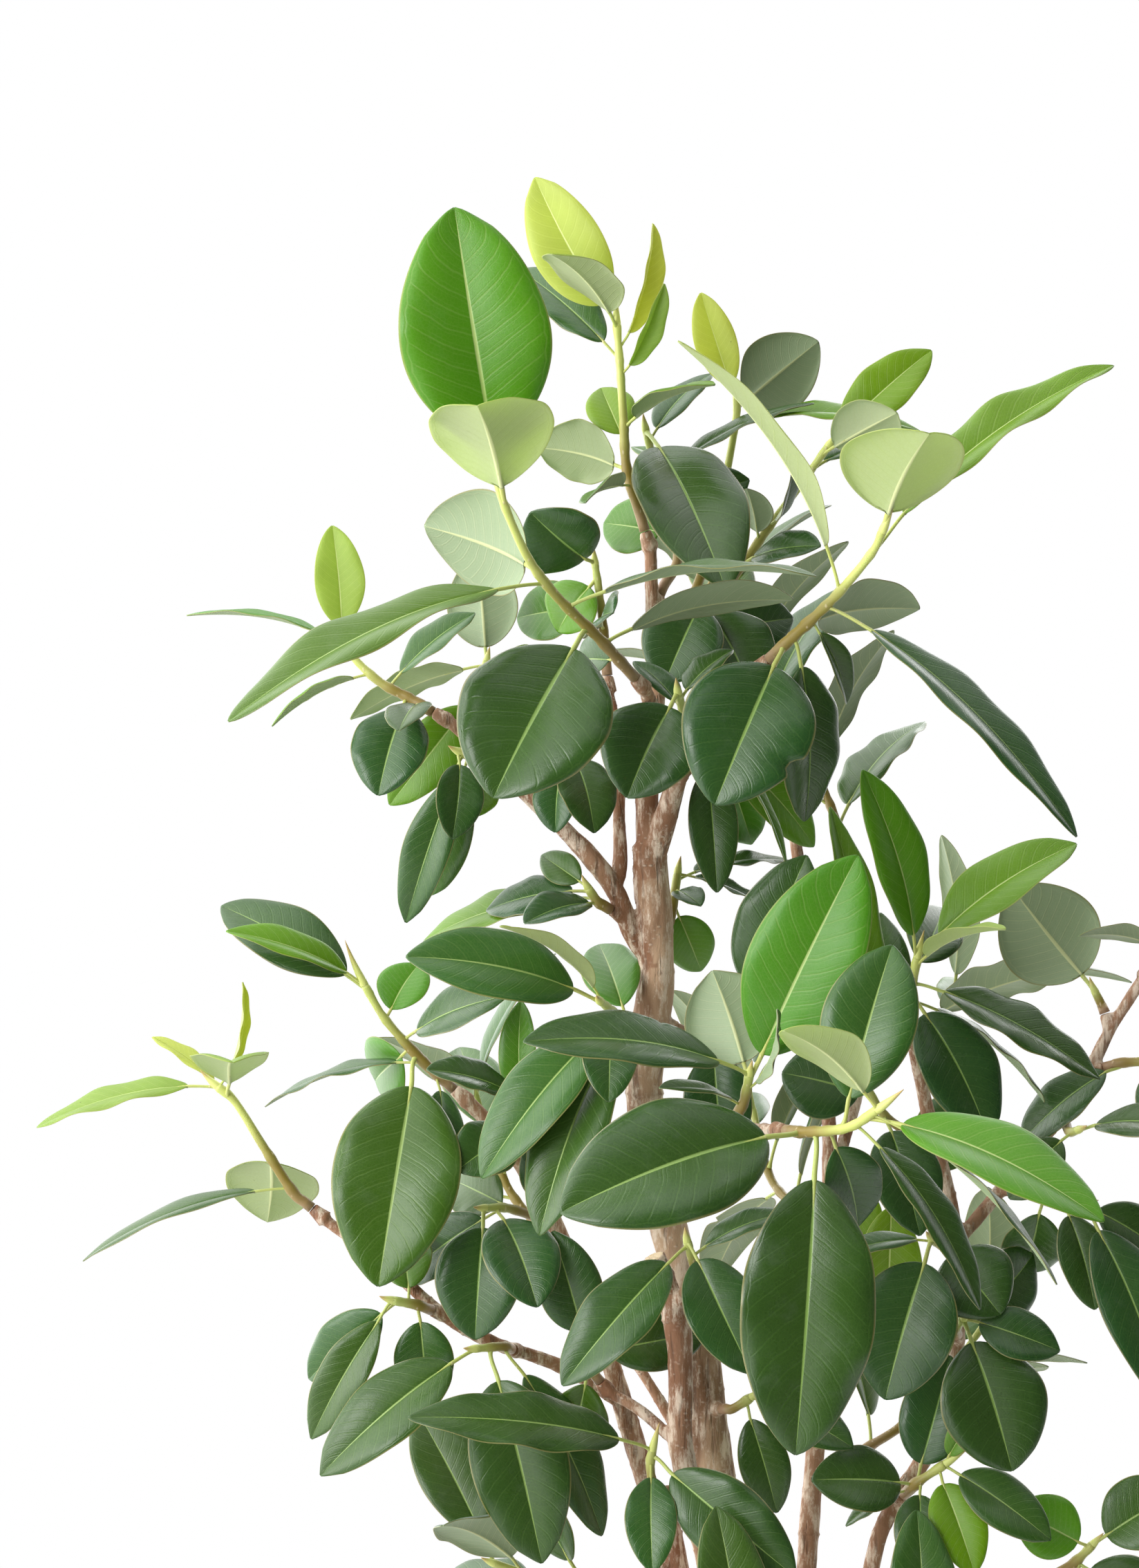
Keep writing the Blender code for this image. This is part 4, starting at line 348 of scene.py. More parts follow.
        (0.8, (24.8, -1.4, 81.2), 2.8, (-0.2, -0.9, 0.4), 14, 0.35),
        (1, (20.4, 0.8, 85.4), 2.2, (0.2, -1, 0), 20, 0.8), (0.6, (25.2, 2.8, 77.2), 2.8, UP, 12, 0.1)]),
    "right_under_shoot": ("right_stem", [(15.8, 1.1, 69.4), (16.4, -0.8, 68.9), (16.8, -1.6, 69)], [
        (1, (22.2, -4, 69), 2.8, (0, -0.5, 0.9), 10, 0.05),
        (0.7, (13.8, -1.2, 66), 2.4, (-0.1, -0.8, 0.6), 10, 0.1)]),
    "low_right_edge_shoot": ("right_stem", [(15, -0.3, 49.2), (16.6, -0.6, 50.2), (17.4, -0.8, 51)], [
        (0.5, (20.6, -2.2, 47.6), 3.4, (0.1, -0.9, 0.6), 10, 0.05),
        (1, (21.4, -0.8, 53.4), 3.2, (0.1, -0.8, 0.6), 10, 0.1),
        (0.9, (14, -0.6, 52.6), 2.8, (0, -1, 0.3), 10, 0.5),
        (0.6, (16.4, -1.6, 45.4), 2.8, FRONT, 10, 0.1)]),
}

# Shoots whose leaves follow one rule: stem, twig's row points, number of leaves.
RULE_SHOOTS = {
    "low_left_shoot": ("left_stem", [(-0.6, 3, 49.8), (-5, 1.2, 49.2), (-8.6, 0.4, 50.2)], 5),
    "low_front_shoot": ("front_stem", [(2.6, -2.7, 38.6), (2.2, -7.2, 41.6), (2.4, -9.6, 45.4)], 5),
    "low_front_right_shoot": ("right_stem", [(6.6, 0.8, 40), (8.9, -3.8, 42), (10.4, -6.2, 45.2)], 5),
    "low_right_shoot": ("right_stem", [(9.6, 0.4, 46.5), (12.6, 2.6, 43.6), (15.6, 3.6, 43.4)], 4),
    "back_low_shoot": ("back_stem", [(4.2, 5.9, 35), (4.6, 11, 38.6), (4.4, 14.4, 43.2)], 5),
    "back_left_shoot": ("back_stem", [(-5, 11, 63), (-7.8, 12.4, 66.2), (-9.4, 12.8, 70.6)], 6),
    "back_mid_shoot": ("back_stem", [(5.9, 8.7, 64), (3.6, 13.2, 66.6), (2.4, 15.6, 71)], 6),
    "back_right_shoot": ("back_stem", [(7.6, 10.6, 73), (10.2, 12.8, 73.6), (12, 13.4, 75.2)], 5),
    "back_top_shoot": ("back_stem", [(4.2, 10, 84), (2.6, 9.4, 88.2), (1.6, 9, 92.4)], 6),
    "back_right_top_shoot": ("back_stem", [(7, 11.2, 80), (6.2, 11.6, 82.6), (4.8, 12.4, 86)], 5),
    "back_low_right_shoot": ("back_stem", [(5.2, 7.8, 54), (9.4, 10.8, 56.4), (12.6, 12, 60.4)], 5),
}
# Small losses on single leaves: side of the midrib, place along it, reach along it, depth as a share.
BITES = {("near_right_shoot", 3): (-1, 0.62, 0.055, 0.15), ("front_shoot", 0): (1, 0.30, 0.02, 0.1),
         ("low_front_shoot", 2): (1, 0.55, 0.03, 0.16), ("back_mid_shoot", 1): (-1, 0.4, 0.035, 0.2)}
# Long pointed buds: shoot and length in metres.
LONG_BUDS = {"mid_left_shoot": 0.021, "top_shoot": 0.012, "near_left_shoot": 0.010,
             "near_right_shoot": 0.012, "near_front_shoot": 0.015, "far_left_shoot": 0.011,
             "lower_right_shoot": 0.014, "right_shoot": 0.012, "front_spur_shoot": 0.013}
BUD_LENGTH = 0.0075
SHOOT_SEED = 100
SOIL_SEED = 7

# How a crowded leaf may have moved its tip, in shares of its length, and how much smaller it may be.
SIDE_SHIFTS = (0, -0.12, 0.12, -0.28, 0.28)
DEPTH_SHIFTS = (0, -0.14, 0.14, -0.28, 0.28, -0.45, 0.45)
TURNS = sorted(((x, y, z) for x in SIDE_SHIFTS for z in SIDE_SHIFTS for y in DEPTH_SHIFTS),
               key=lambda turn: (abs(turn[0]) + abs(turn[2])) * 1.5 + abs(turn[1]) * 0.8)
SIZES = (1.0, 0.82, 0.66)
SEATED = 0.0001


# ---------------------------------------------------------------- settings
def colour_setting(label, note, default):
    return FloatVectorProperty(name=label, description=note, subtype="COLOR", size=3, min=0, max=1,
                               default=default)


def length_setting(label, note, least, most, default):
    return FloatProperty(name=label, description=note, subtype="DISTANCE", unit="LENGTH", min=least,
                         max=most, default=default)


def power_setting(label, note, default):
    return FloatProperty(name=label, description=note, unit="POWER", min=0, max=500, default=default)


def brightness_setting(label, note, default):
    return FloatProperty(name=label, description=note, min=0, max=5, default=default)


def count_setting(label, note, least, most, default):
    return IntProperty(name=label, description=note, min=least, max=most, default=default)


class FigLeafSettings(bpy.types.PropertyGroup):
    """Colours and build of the blades."""
    mature: colour_setting("Mature", "Colour of a full-grown blade's upper side", (0.020, 0.066, 0.013))
    bright: colour_setting("Bright", "Colour of a blade that has just hardened", (0.115, 0.31, 0.002))
    young: colour_setting("Young", "Colour of a blade that has just opened", (0.50, 0.60, 0.17))
    underside: colour_setting("Underside", "Colour of a full-grown blade's lower side", (0.25, 0.33, 0.185))
    thickness: length_setting("Thickness", "Thickness of the blade between its veins",
                              0.0002, 0.002, 0.00055)
    veins: count_setting("Side veins", "Side veins on each half of a blade", 4, 20, 12)
    detail: count_setting("Detail", "Rows of faces along a blade", 8, 120, 52)


class FigWoodSettings(bpy.types.PropertyGroup):
    """Colours and relief of the stems."""
    bark: colour_setting("Bark", "Main colour of the bark", (0.53, 0.37, 0.24))
    bark_dark: colour_setting("Dark bark", "Colour of its brown patches", (0.17, 0.085, 0.042))
    bark_pale: colour_setting("Pores", "Colour of its pale pores and scales", (0.68, 0.57, 0.46))
    relief: length_setting("Relief", "Height of the bark's ridges and knots", 0, 0.003, 0.0008)
    voxel: length_setting("Grain of fusing", "Cell size used to fuse limbs into one skin",
                          0.0004, 0.005, 0.0009)


class FigPotSettings(bpy.types.PropertyGroup):
    """The plain pot and its soil."""
    clay: colour_setting("Clay", "Colour of the unglazed clay", (0.36, 0.325, 0.285))
    soil: colour_setting("Soil", "Colour of the moist potting mix", (0.040, 0.024, 0.014))
    sides: count_setting("Sides", "Faces round the pot", 24, 256, 144)
    crumbs: count_setting("Crumbs", "Loose crumbs and chips on the soil", 0, 4000, 1100)


class FigStageSettings(bpy.types.PropertyGroup):
    """Floor and light."""
    floor: colour_setting("Floor", "Colour of the floor", (0.62, 0.62, 0.61))
    sky: brightness_setting("Surround", "Brightness of the white surround", 1.0)
    front: brightness_setting("Front", "Brightness of the dim side in front of the plant", 0.10)
    key: power_setting("Key light", "Power of the large light at the upper left", 16.0)
    side: power_setting("Side light", "Power of the low light at the left", 4.2)
    back: power_setting("Back light", "Power of the large light behind the plant", 22.0)


# ---------------------------------------------------------------- rows to true positions
def planted(point):
    """A row point in centimetres as a true position in metres."""
    across, depth, height = point
    reach = (depth - ROW_EYE.y) / -ROW_EYE.y
    x = ROW_EYE.x + (across - ROW_EYE.x) * reach - ROW_POT_AXIS
    z = ROW_EYE.z + (height - ROW_EYE.z) * reach - ROW_SOIL_HEIGHT
    return Vector((x, depth, z)) * CM + Vector((0, 0, SOIL_TOP))


def smooth_path(points, step):
    """Evenly spaced points on a smooth curve through the given ones."""
    padded = [points[0] * 2 - points[1], *points, points[-1] * 2 - points[-2]]
    path = [points[0].copy()]
    for a, b, c, d in zip(padded, padded[1:], padded[2:], padded[3:]):
        count = max(1, round((c - b).length / step))
        for k in range(1, count + 1):
            t = k / count
            path.append(0.5 * (2 * b + (c - a) * t + (2 * a - 5 * b + 4 * c - d) * t ** 2
                               + (3 * b - 3 * c + d - a) * t ** 3))
    return path


def along(path, t):
    """The point a share t of the way along a path, and the path's direction there."""
    lengths = [(b - a).length for a, b in zip(path, path[1:])]
    left = t * sum(lengths)
    for (a, b), length in zip(zip(path, path[1:]), lengths):
        if left <= length:
            break
        left -= length
    direction = (b - a).normalized()
    return a + direction * min(left, length), direction


def rule_leaves(path, count):
    """Leaves set round a twig by the golden angle, longer at the foot than at the tip."""
    leaves = []
    for k in range(count):
        t = 0.25 + 0.75 * k / (count - 1)
        root, direction = along(path, t)
        side = direction.orthogonal().normalized()
        side.rotate(Matrix.Rotation(GOLDEN_ANGLE * k, 3, direction))
        heading = (side + direction * (0.2 + 0.5 * t) + Vector((0, 0, 0.25))).normalized()
        facing = direction * 0.6 + Vector((0, 0, 1))
        leaves.append((t, root + heading * (0.095 - 0.018 * t), 0.036 - 0.006 * t, facing, 12, RULE_YOUTH))
    return leaves


def stem_axis(stem, step=0.01):
    """Every limb's axis as (point, direction, radius)."""
    axis = []
    for points, first, last in STEMS[stem]:
        path = smooth_path([planted(p) for p in points], step)
        for index, place in enumerate(path):
            share = index / (len(path) - 1)
            direction = (path[min(index + 1, len(path) - 1)] - path[max(index - 1, 0)]).normalized()
            axis.append((place, direction, (first + (last - first) * share) * CM))
    return axis


def shoot_seat(axis, first, second):
    """Where a shoot sits on its stem: the axis point, the outward direction and the collar's length."""
    centre, direction, radius = min(axis, key=lambda ring: (first - ring[0]).length - ring[2])
    outward = (second - centre).normalized()
    square = max(outward.cross(direction).length, LEAST_COLLAR_SINE)
    return centre, outward, radius / square + SPUR_LENGTH


def twig_path(seat, rows):
    centre, outward, collar = seat
    start = centre + outward * (collar + GAP)
    rest = [planted(p) for p in rows[1:]]
    return [start] + smooth_path([start + outward * TWIG_STRAIGHT, *rest], TWIG_STEP)


# ---------------------------------------------------------------- shapes
class Shape:
    """The quads of one piece, with a material slot, a map place and named values for each point."""
    VALUES = ("youth", "seed", "under", "rim", "age")

    def __init__(self):
        self.points, self.quads, self.slots, self.maps = [], [], [], []
        self.values = {name: [] for name in self.VALUES}
        self.count = 0

    def add(self, points, quads, slot, maps=None, **values):
        points = np.asarray(points, float).reshape(-1, 3)
        quads = np.asarray(quads, np.int64).reshape(-1, 4)
        self.points.append(points)
        self.quads.append(quads + self.count)
        self.slots.append(np.full(len(quads), slot))
        self.maps.append(np.zeros((len(points), 2)) if maps is None else maps)
        for name in self.VALUES:
            self.values[name].append(np.broadcast_to(values.get(name, 0.0), (len(points),)))
        self.count += len(points)

    def mesh(self, name, finishes):
        """The gathered quads as a smooth mesh."""
        points, quads = np.concatenate(self.points), np.concatenate(self.quads)
        mesh = bpy.data.meshes.new(name)
        mesh.vertices.add(len(points))
        mesh.vertices.foreach_set("co", points.ravel())
        mesh.loops.add(quads.size)
        mesh.loops.foreach_set("vertex_index", quads.ravel())
        mesh.polygons.add(len(quads))
        mesh.polygons.foreach_set("loop_start", np.arange(0, quads.size, 4))
        mesh.polygons.foreach_set("material_index", np.concatenate(self.slots))
        mesh.polygons.foreach_set("use_smooth", np.ones(len(quads), bool))
        corners = np.concatenate(self.maps)[quads.ravel()]
        mesh.uv_layers.new(name="map").data.foreach_set("uv", corners.ravel())
        for label, parts in self.values.items():
            layer = mesh.attributes.new(label, "FLOAT", "POINT")
            layer.data.foreach_set("value", np.concatenate(parts))
        for finish in finishes:
            mesh.materials.append(finish)
        mesh.update(calc_edges=True)
        mesh.validate()
        return mesh


def unit(rows):
    return rows / np.maximum(np.linalg.norm(rows, axis=-1, keepdims=True), 1e-12)


def grid_quads(rows, columns, closed):
    """Quads of a grid whose rows lie one after another; closed joins the last column to the first."""
    last = columns if closed else columns - 1
    i, j = np.meshgrid(np.arange(rows - 1), np.arange(last), indexing="ij")
    a, b = i * columns + j, i * columns + (j + 1) % columns
    return np.stack([a, b, b + columns, a + columns], -1).reshape(-1, 4)


def cap_quads(first, sides):
    """Quads that close a ring of an even number of sides."""
    return [(first, first + k, first + k + 1, first + k + 2) for k in range(1, sides - 1, 2)]


def tube(path, radii, sides):
    """Points and quads of a closed tube along a path, with the angle and share along it of each point."""
    path, radii = np.asarray(path, float), np.asarray(radii, float)
    heading = unit(np.gradient(path, axis=0))
    across = np.cross(heading[0], (0.31, 0.17, 0.93))
    rings = []
    for place, ahead, radius in zip(path, heading, radii):
        across = unit(across - ahead * across.dot(ahead))
        up = np.cross(ahead, across)
        turn = 2 * math.pi * np.arange(sides) / sides
        rings.append(place + radius * (np.outer(np.cos(turn), across) + np.outer(np.sin(turn), up)))
    quads = grid_quads(len(path), sides, True).tolist()
    quads += [quad[::-1] for quad in cap_quads(0, sides)] + cap_quads((len(path) - 1) * sides, sides)
    share = np.repeat(np.linspace(0, 1, len(path)), sides)
    maps = np.stack([np.tile(np.arange(sides) / sides, len(path)), share], -1)
    return np.concatenate(rings), quads, maps


# ---------------------------------------------------------------- leaves
ACROSS = np.array([0, .028, .07, .15, .27, .40, .53, .66, .78, .88, .95, 1.0])
COLUMNS = np.concatenate([-ACROSS[:0:-1], ACROSS])
MIDRIB_HEIGHT = 0.0009
MIDRIB_WIDTH = 0.0008
GROOVE_DEPTH = 0.0003
GROOVE_WIDTH = 0.0006
QUILT = 0.00007
VEIN_SLANT = (0.15, 0.05)
VEIN_STAGGER = 0.4
LEAST_ROWS = 14
FULL_DETAIL_LENGTH = 0.08
# Leaf width and length for which the relief and the waves are given.
USUAL_WIDTH = 0.04
USUAL_LENGTH = 0.09
# Points along a stalk, and along its run under the blade.
STALK_POINTS = 13
UNDER_POINTS = 7
# Rings round a twig where a leaf leaves it: rise as a share of the radius, place and spread along it.
TWIG_RINGS = ((0.17, 0, 0.0024), (-0.05, 0.0042, 0.0008), (0.06, -0.0035, 0.0006))


class Leaf:
    """One leaf's place, and the chance that makes it different from its neighbours."""

    def __init__(self, root, tip, width, facing, fold, youth, chance):
        self.root, self.tip = np.array(root), np.array(tip)
        self.length = float(np.linalg.norm(self.tip - self.root))
        self.axis = (self.tip - self.root) / self.length
        up = np.array(facing, float)
        self.up = unit(up - self.axis * up.dot(self.axis))
        self.side = np.cross(self.axis, self.up)
        self.width, self.fold = width, math.radians(fold)
        self.youth = min(1.0, max(0.0, youth + chance.uniform(-0.04, 0.04)))
        self.seed = chance.uniform()
        self.twist = math.radians(chance.uniform(-5, 5))
        self.sway = chance.uniform(-0.012, 0.012) * self.length
        self.wave = chance.uniform(0.0004, 0.0013) * self.length / USUAL_LENGTH
        self.waves, self.phase = chance.uniform(1.6, 3.4), chance.uniform()
        self.bulge = chance.uniform(0.035, 0.075)
        self.curl = chance.uniform(0.03, 0.10)
        self.point = chance.uniform(0.05, 0.3)
        self.girth = chance.uniform(0.88, 1.02)

    def line(self, u):
        """The arching midrib at shares u of the whole leaf."""
        u = np.asarray(u, float)[..., None]
        crest = self.root + (self.tip - self.root) * ARCH_CREST + self.up * ARCH_RISE * self.length
        return (self.root * (1 - u) + crest * u) * (1 - u) + (crest * (1 - u) + self.tip * u) * u

    def half_width(self, s):
        outline = 0.5 * np.sin(math.pi * np.clip(s, 0, 1) ** self.girth) ** 0.62
        outline *= 1 - self.point * np.clip((s - 0.90) / 0.10, 0, 1)
        return np.maximum(self.width * outline, 0.0005)


def blade(shape, leaf, bite, rows, thickness, veins):
    """The blade: a thin closed shell with folded halves, a grooved midrib and a wavy margin."""
    even = np.linspace(0, 1, rows)
    s = 0.6 * even + 0.4 * (1 - np.cos(math.pi * even)) / 2
    sway = leaf.side * (leaf.sway * np.sin(math.pi * s))[:, None]
    centre = leaf.line(PETIOLE_SHARE + (1 - PETIOLE_SHARE) * s) + sway
    ahead = unit(np.gradient(centre, axis=0))
    normal = unit(np.cross(np.broadcast_to(leaf.side, ahead.shape), ahead))
    twist = (leaf.twist * (s - 0.4))[:, None]
    side = leaf.side * np.cos(twist) + normal * np.sin(twist)
    normal = normal * np.cos(twist) - leaf.side * np.sin(twist)
    half, v, bow = leaf.half_width(s)[:, None], COLUMNS[None, :], np.abs(COLUMNS)[None, :]
    if bite:
        edge, place, reach, depth = bite
        loss = depth * np.exp(-((s[:, None] - place) / reach) ** 4)
        half = half * np.where(v * edge > 0, 1 - loss, 1.0)
    ends = np.sin(math.pi * s)[:, None] ** 0.5
    folded = math.sin(leaf.fold) * (np.sqrt(bow ** 2 + 0.004) - 0.063)
    lift = half * (folded + leaf.bulge * np.sin(math.pi * bow)
                   - leaf.curl * np.clip((bow - 0.75) / 0.25, 0, 1) ** 2)
    waving = leaf.waves * s[:, None] + leaf.phase + 0.3 * (v > 0)
    lift += leaf.wave * ends * bow ** 3 * np.sin(2 * math.pi * waving)
    slant = VEIN_SLANT[0] * bow + VEIN_SLANT[1] * bow ** 2
    order = veins * (s[:, None] - slant) + VEIN_STAGGER * (v > 0)
    quilted = ends * np.sin(math.pi * bow) ** 0.7 * np.cos(2 * math.pi * order)
    lift += QUILT * leaf.width / USUAL_WIDTH * quilted
    middle = centre[:, None] + side[:, None] * (half * v * math.cos(leaf.fold))[..., None]
    middle = middle + normal[:, None] * lift[..., None]
    face = unit(np.cross(np.gradient(middle, axis=1), np.gradient(middle, axis=0)))
    away = np.abs(half * v)
    thin = thickness * (1 - 0.45 * bow ** 6)
    fade = (1 - s[:, None]) ** 0.8
    groove = GROOVE_DEPTH * fade * np.exp(-(away / GROOVE_WIDTH) ** 2)
    rib = MIDRIB_HEIGHT * fade * min(1.0, leaf.width / USUAL_WIDTH) * np.exp(-(away / MIDRIB_WIDTH) ** 2)
    upper = middle + face * (thin / 2 - groove)[..., None]
    lower = middle - face * (thin / 2 + rib)[..., None]
    columns = len(COLUMNS)
    top = grid_quads(rows, columns, False)
    count = rows * columns
    border = [*range(columns)] + [i * columns + columns - 1 for i in range(1, rows)]
    border += [(rows - 1) * columns + j for j in range(columns - 2, -1, -1)]
    border += [i * columns for i in range(rows - 2, 0, -1)]
    border = np.array(border)
    after = np.roll(border, -1)
    rim_points = middle.reshape(-1, 3)[border]
    outward = unit(rim_points - centre[np.minimum(border // columns, rows - 1)])
    rim_points = rim_points + outward * thickness * 0.3
    ring = 2 * count + np.arange(len(border))
    ring_after = np.roll(ring, -1)
    rims = np.concatenate([np.stack([ring, ring_after, after, border], -1),
                           np.stack([border + count, after + count, ring_after, ring], -1)])
    quads = np.concatenate([top, top[:, ::-1] + count, rims])
    flat = np.stack(np.broadcast_arrays((v + 1) / 2, s[:, None]), -1).reshape(-1, 2)
    under = np.concatenate([np.zeros(count), np.ones(count), np.full(len(border), 0.5)])
    edge = np.broadcast_to(bow, (rows, columns)).ravel()
    rim = np.concatenate([edge, edge, np.ones(len(border))])
    shape.add(np.concatenate([upper.reshape(-1, 3), lower.reshape(-1, 3), rim_points]), quads, 0,
              np.concatenate([flat, flat, flat[border]]), youth=leaf.youth, seed=leaf.seed, under=under,
              rim=rim)


def petiole(shape, leaf, direction):
    """The leaf's stalk: it swings out of the twig, straightens and runs on under the blade."""
    seat = leaf.line(PETIOLE_SHARE)
    onward = unit(leaf.line(PETIOLE_SHARE + 0.01) - seat)
    reach = np.linalg.norm(seat - leaf.root)
    leaving = unit(np.array(direction) * 0.55 + leaf.axis) * reach
    t = np.linspace(0, 1, STALK_POINTS)[:, None]
    stalk = (leaf.root * (2 * t ** 3 - 3 * t ** 2 + 1) + leaving * (t ** 3 - 2 * t ** 2 + t)
             + seat * (3 * t ** 2 - 2 * t ** 3) + onward * reach * (t ** 3 - t ** 2))
    under = leaf.line(np.linspace(PETIOLE_SHARE + 0.015, PETIOLE_SHARE + 0.14, UNDER_POINTS))
    under = under - leaf.up * np.linspace(0.0001, 0.0006, UNDER_POINTS)[:, None]
    path = np.concatenate([stalk, under])
    size = min(1.15, max(0.55, (leaf.width / 0.045) ** 0.6))
    share = t[:, 0]
    radii = size * (0.00092 + 0.0006 * np.exp(-(share * reach / 0.0022) ** 2) + 0.0001 * share ** 3)
    radii = np.concatenate([radii, size * np.linspace(0.00085, 0.0003, UNDER_POINTS)])
    points, quads, maps = tube(path, radii, 10)
    shape.add(points, quads, 1, maps, youth=0.35 + 0.65 * leaf.youth, seed=leaf.seed, age=0.0)


def twig(shape, path, shares, youth, seed, bud):
    """The green twig, swollen where leaves leave it, with a pointed bud."""
    fine = [path[0]] + smooth_path(path[1:], 0.0016)
    places = np.array(fine)
    run = np.concatenate([[0], np.cumsum(np.linalg.norm(np.diff(places, axis=0), axis=1))])
    share = run / run[-1]
    radii = TWIG_RADIUS + (TWIG_TIP_RADIUS - TWIG_RADIUS) * share
    for t in shares:
        gap, swelling = run - t * run[-1], 1.0
        for rise, offset, spread in TWIG_RINGS:
            swelling += rise * np.exp(-((gap - offset) / spread) ** 2)
        radii = radii * swelling
    points, quads, maps = tube(places, radii, 14)
    shape.add(points, quads, 1, maps, youth=youth, seed=seed, age=np.repeat(1 - share, 14))
    onward = unit(places[-1] - places[-4])
    t = np.linspace(0, 1, 14)[:, None]
    lean = np.array((0.12, -0.05, 0.2)) * bud
    spike = places[-1] - onward * 0.0012 + onward * bud * t + lean * t ** 2 * 0.5
    t = t[:, 0]
    swell = TWIG_TIP_RADIUS * (1.02 * (1 - t) ** 0.8 + 0.32 * np.sin(math.pi * t ** 0.6)) + 0.00012
    points, quads, maps = tube(spike, swell * (1 - 0.2 * t), 12)
    shape.add(points, quads, 2, maps, youth=youth, seed=seed, age=0.0)


def settled(tree, root, tip, width):
    """The tip and width that the frame gives a leaf, found among those that it may have taken."""
    best = None
    for size in SIZES:
        reach = (tip - root) * size
        for turn in TURNS:
            moved = root + (reach + Vector(turn) * reach.length).normalized() * reach.length
            distance = tree.find(moved)[2]
            if best is None or distance < best[0]:
                best = (distance, moved, width * size)
            if distance < SEATED:
                return best[1:]
    return best[1:]


# ---------------------------------------------------------------- finishes
class Value:
    """A node's output to reckon with: every sum, product or share adds one node."""

    def __init__(self, nodes, socket):
        self.nodes, self.socket = nodes, socket

    def __add__(self, other):
        return self.nodes.math("ADD", self, other)

    def __sub__(self, other):
        return self.nodes.math("SUBTRACT", self, other)

    def __rsub__(self, other):
        return self.nodes.math("SUBTRACT", other, self)

    def __mul__(self, other):
        return self.nodes.math("MULTIPLY", self, other)

    def __truediv__(self, other):
        return self.nodes.math("DIVIDE", self, other)

    def __abs__(self):
        return self.nodes.math("ABSOLUTE", self)


class Nodes:
    """A node tree being put together: every call adds a node and returns its output."""

    def __init__(self, tree):
        self.tree = tree

    def wire(self, value, socket):
        if isinstance(value, Value):
            self.tree.links.new(value.socket, socket)
        elif value is not None:
            if hasattr(value, "__len__") and len(socket.default_value) > len(value):
                value = (*value, 1.0)
            socket.default_value = value

    def node(self, kind, inputs=(), output=0, **settings):
        made = self.tree.nodes.new("ShaderNode" + kind)
        for name, value in settings.items():
            setattr(made, name, value)
        for key, value in dict(inputs).items():
            self.wire(value, made.inputs[key])
        return Value(self, made.outputs[output])

    def math(self, operation, first, second=None):
        return self.node("Math", {0: first, 1: second}, operation=operation)

    def value(self, name):
        return self.node("Attribute", attribute_name=name, output="Fac")

    def part(self, place, index):
        return self.node("SeparateXYZ", {0: place}, index)

    def mix(self, share, first, second):
        return self.node("Mix", {0: share, 6: first, 7: second}, 2, data_type="RGBA")

    def tint(self, colour, hue, saturation, value):
        return self.node("HueSaturation", {"Hue": hue, "Saturation": saturation, "Value": value,
                                           "Color": colour})

    def noise(self, place, scale, detail=3, roughness=0.55):
        return self.node("TexNoise", {"Vector": place, "Scale": scale, "Detail": detail,
                                      "Roughness": roughness})

    def cells(self, place, scale, feature="F1"):
        return self.node("TexVoronoi", {"Vector": place, "Scale": scale}, "Distance", feature=feature)

    def step(self, value, low, high, first=0, second=1):
        """A smooth step of value from low to high."""
        return self.node("MapRange", {"Value": value, "From Min": low, "From Max": high, "To Min": first,
                                      "To Max": second}, interpolation_type="SMOOTHSTEP")

    def fade(self, value, low, high, first=1):
        """A smooth step down to nothing."""
        return self.step(value, low, high, first, 0)

    def stretch(self, place, upward, sideways=1):
        return self.node("Mapping", {"Vector": place, "Scale": (sideways, sideways, upward)})

    def bump(self, height, strength, distance, under=None):
        return self.node("Bump", {"Height": height, "Strength": strength, "Distance": distance,
                                  "Normal": under})

    def place(self):
        return self.node("TexCoord", output="Object")

    def sheet(self):
        return self.node("UVMap", uv_map="map")


class Finish(Nodes):
    """A node material built on the usual surface shader."""

    def __init__(self, name):
        self.material = bpy.data.materials.new(name)
        self.material.use_nodes = True
        super().__init__(self.material.node_tree)
        self.shader = self.tree.nodes["Principled BSDF"]

    def finished(self, colour, rough, normal=None, **fixed):
        """The material, with its main looks wired and its constants set."""
        for key, value in {"Base Color": colour, "Roughness": rough, "Normal": normal, **fixed}.items():
            self.wire(value, self.shader.inputs[key.replace("_", " ")])
        return self.material


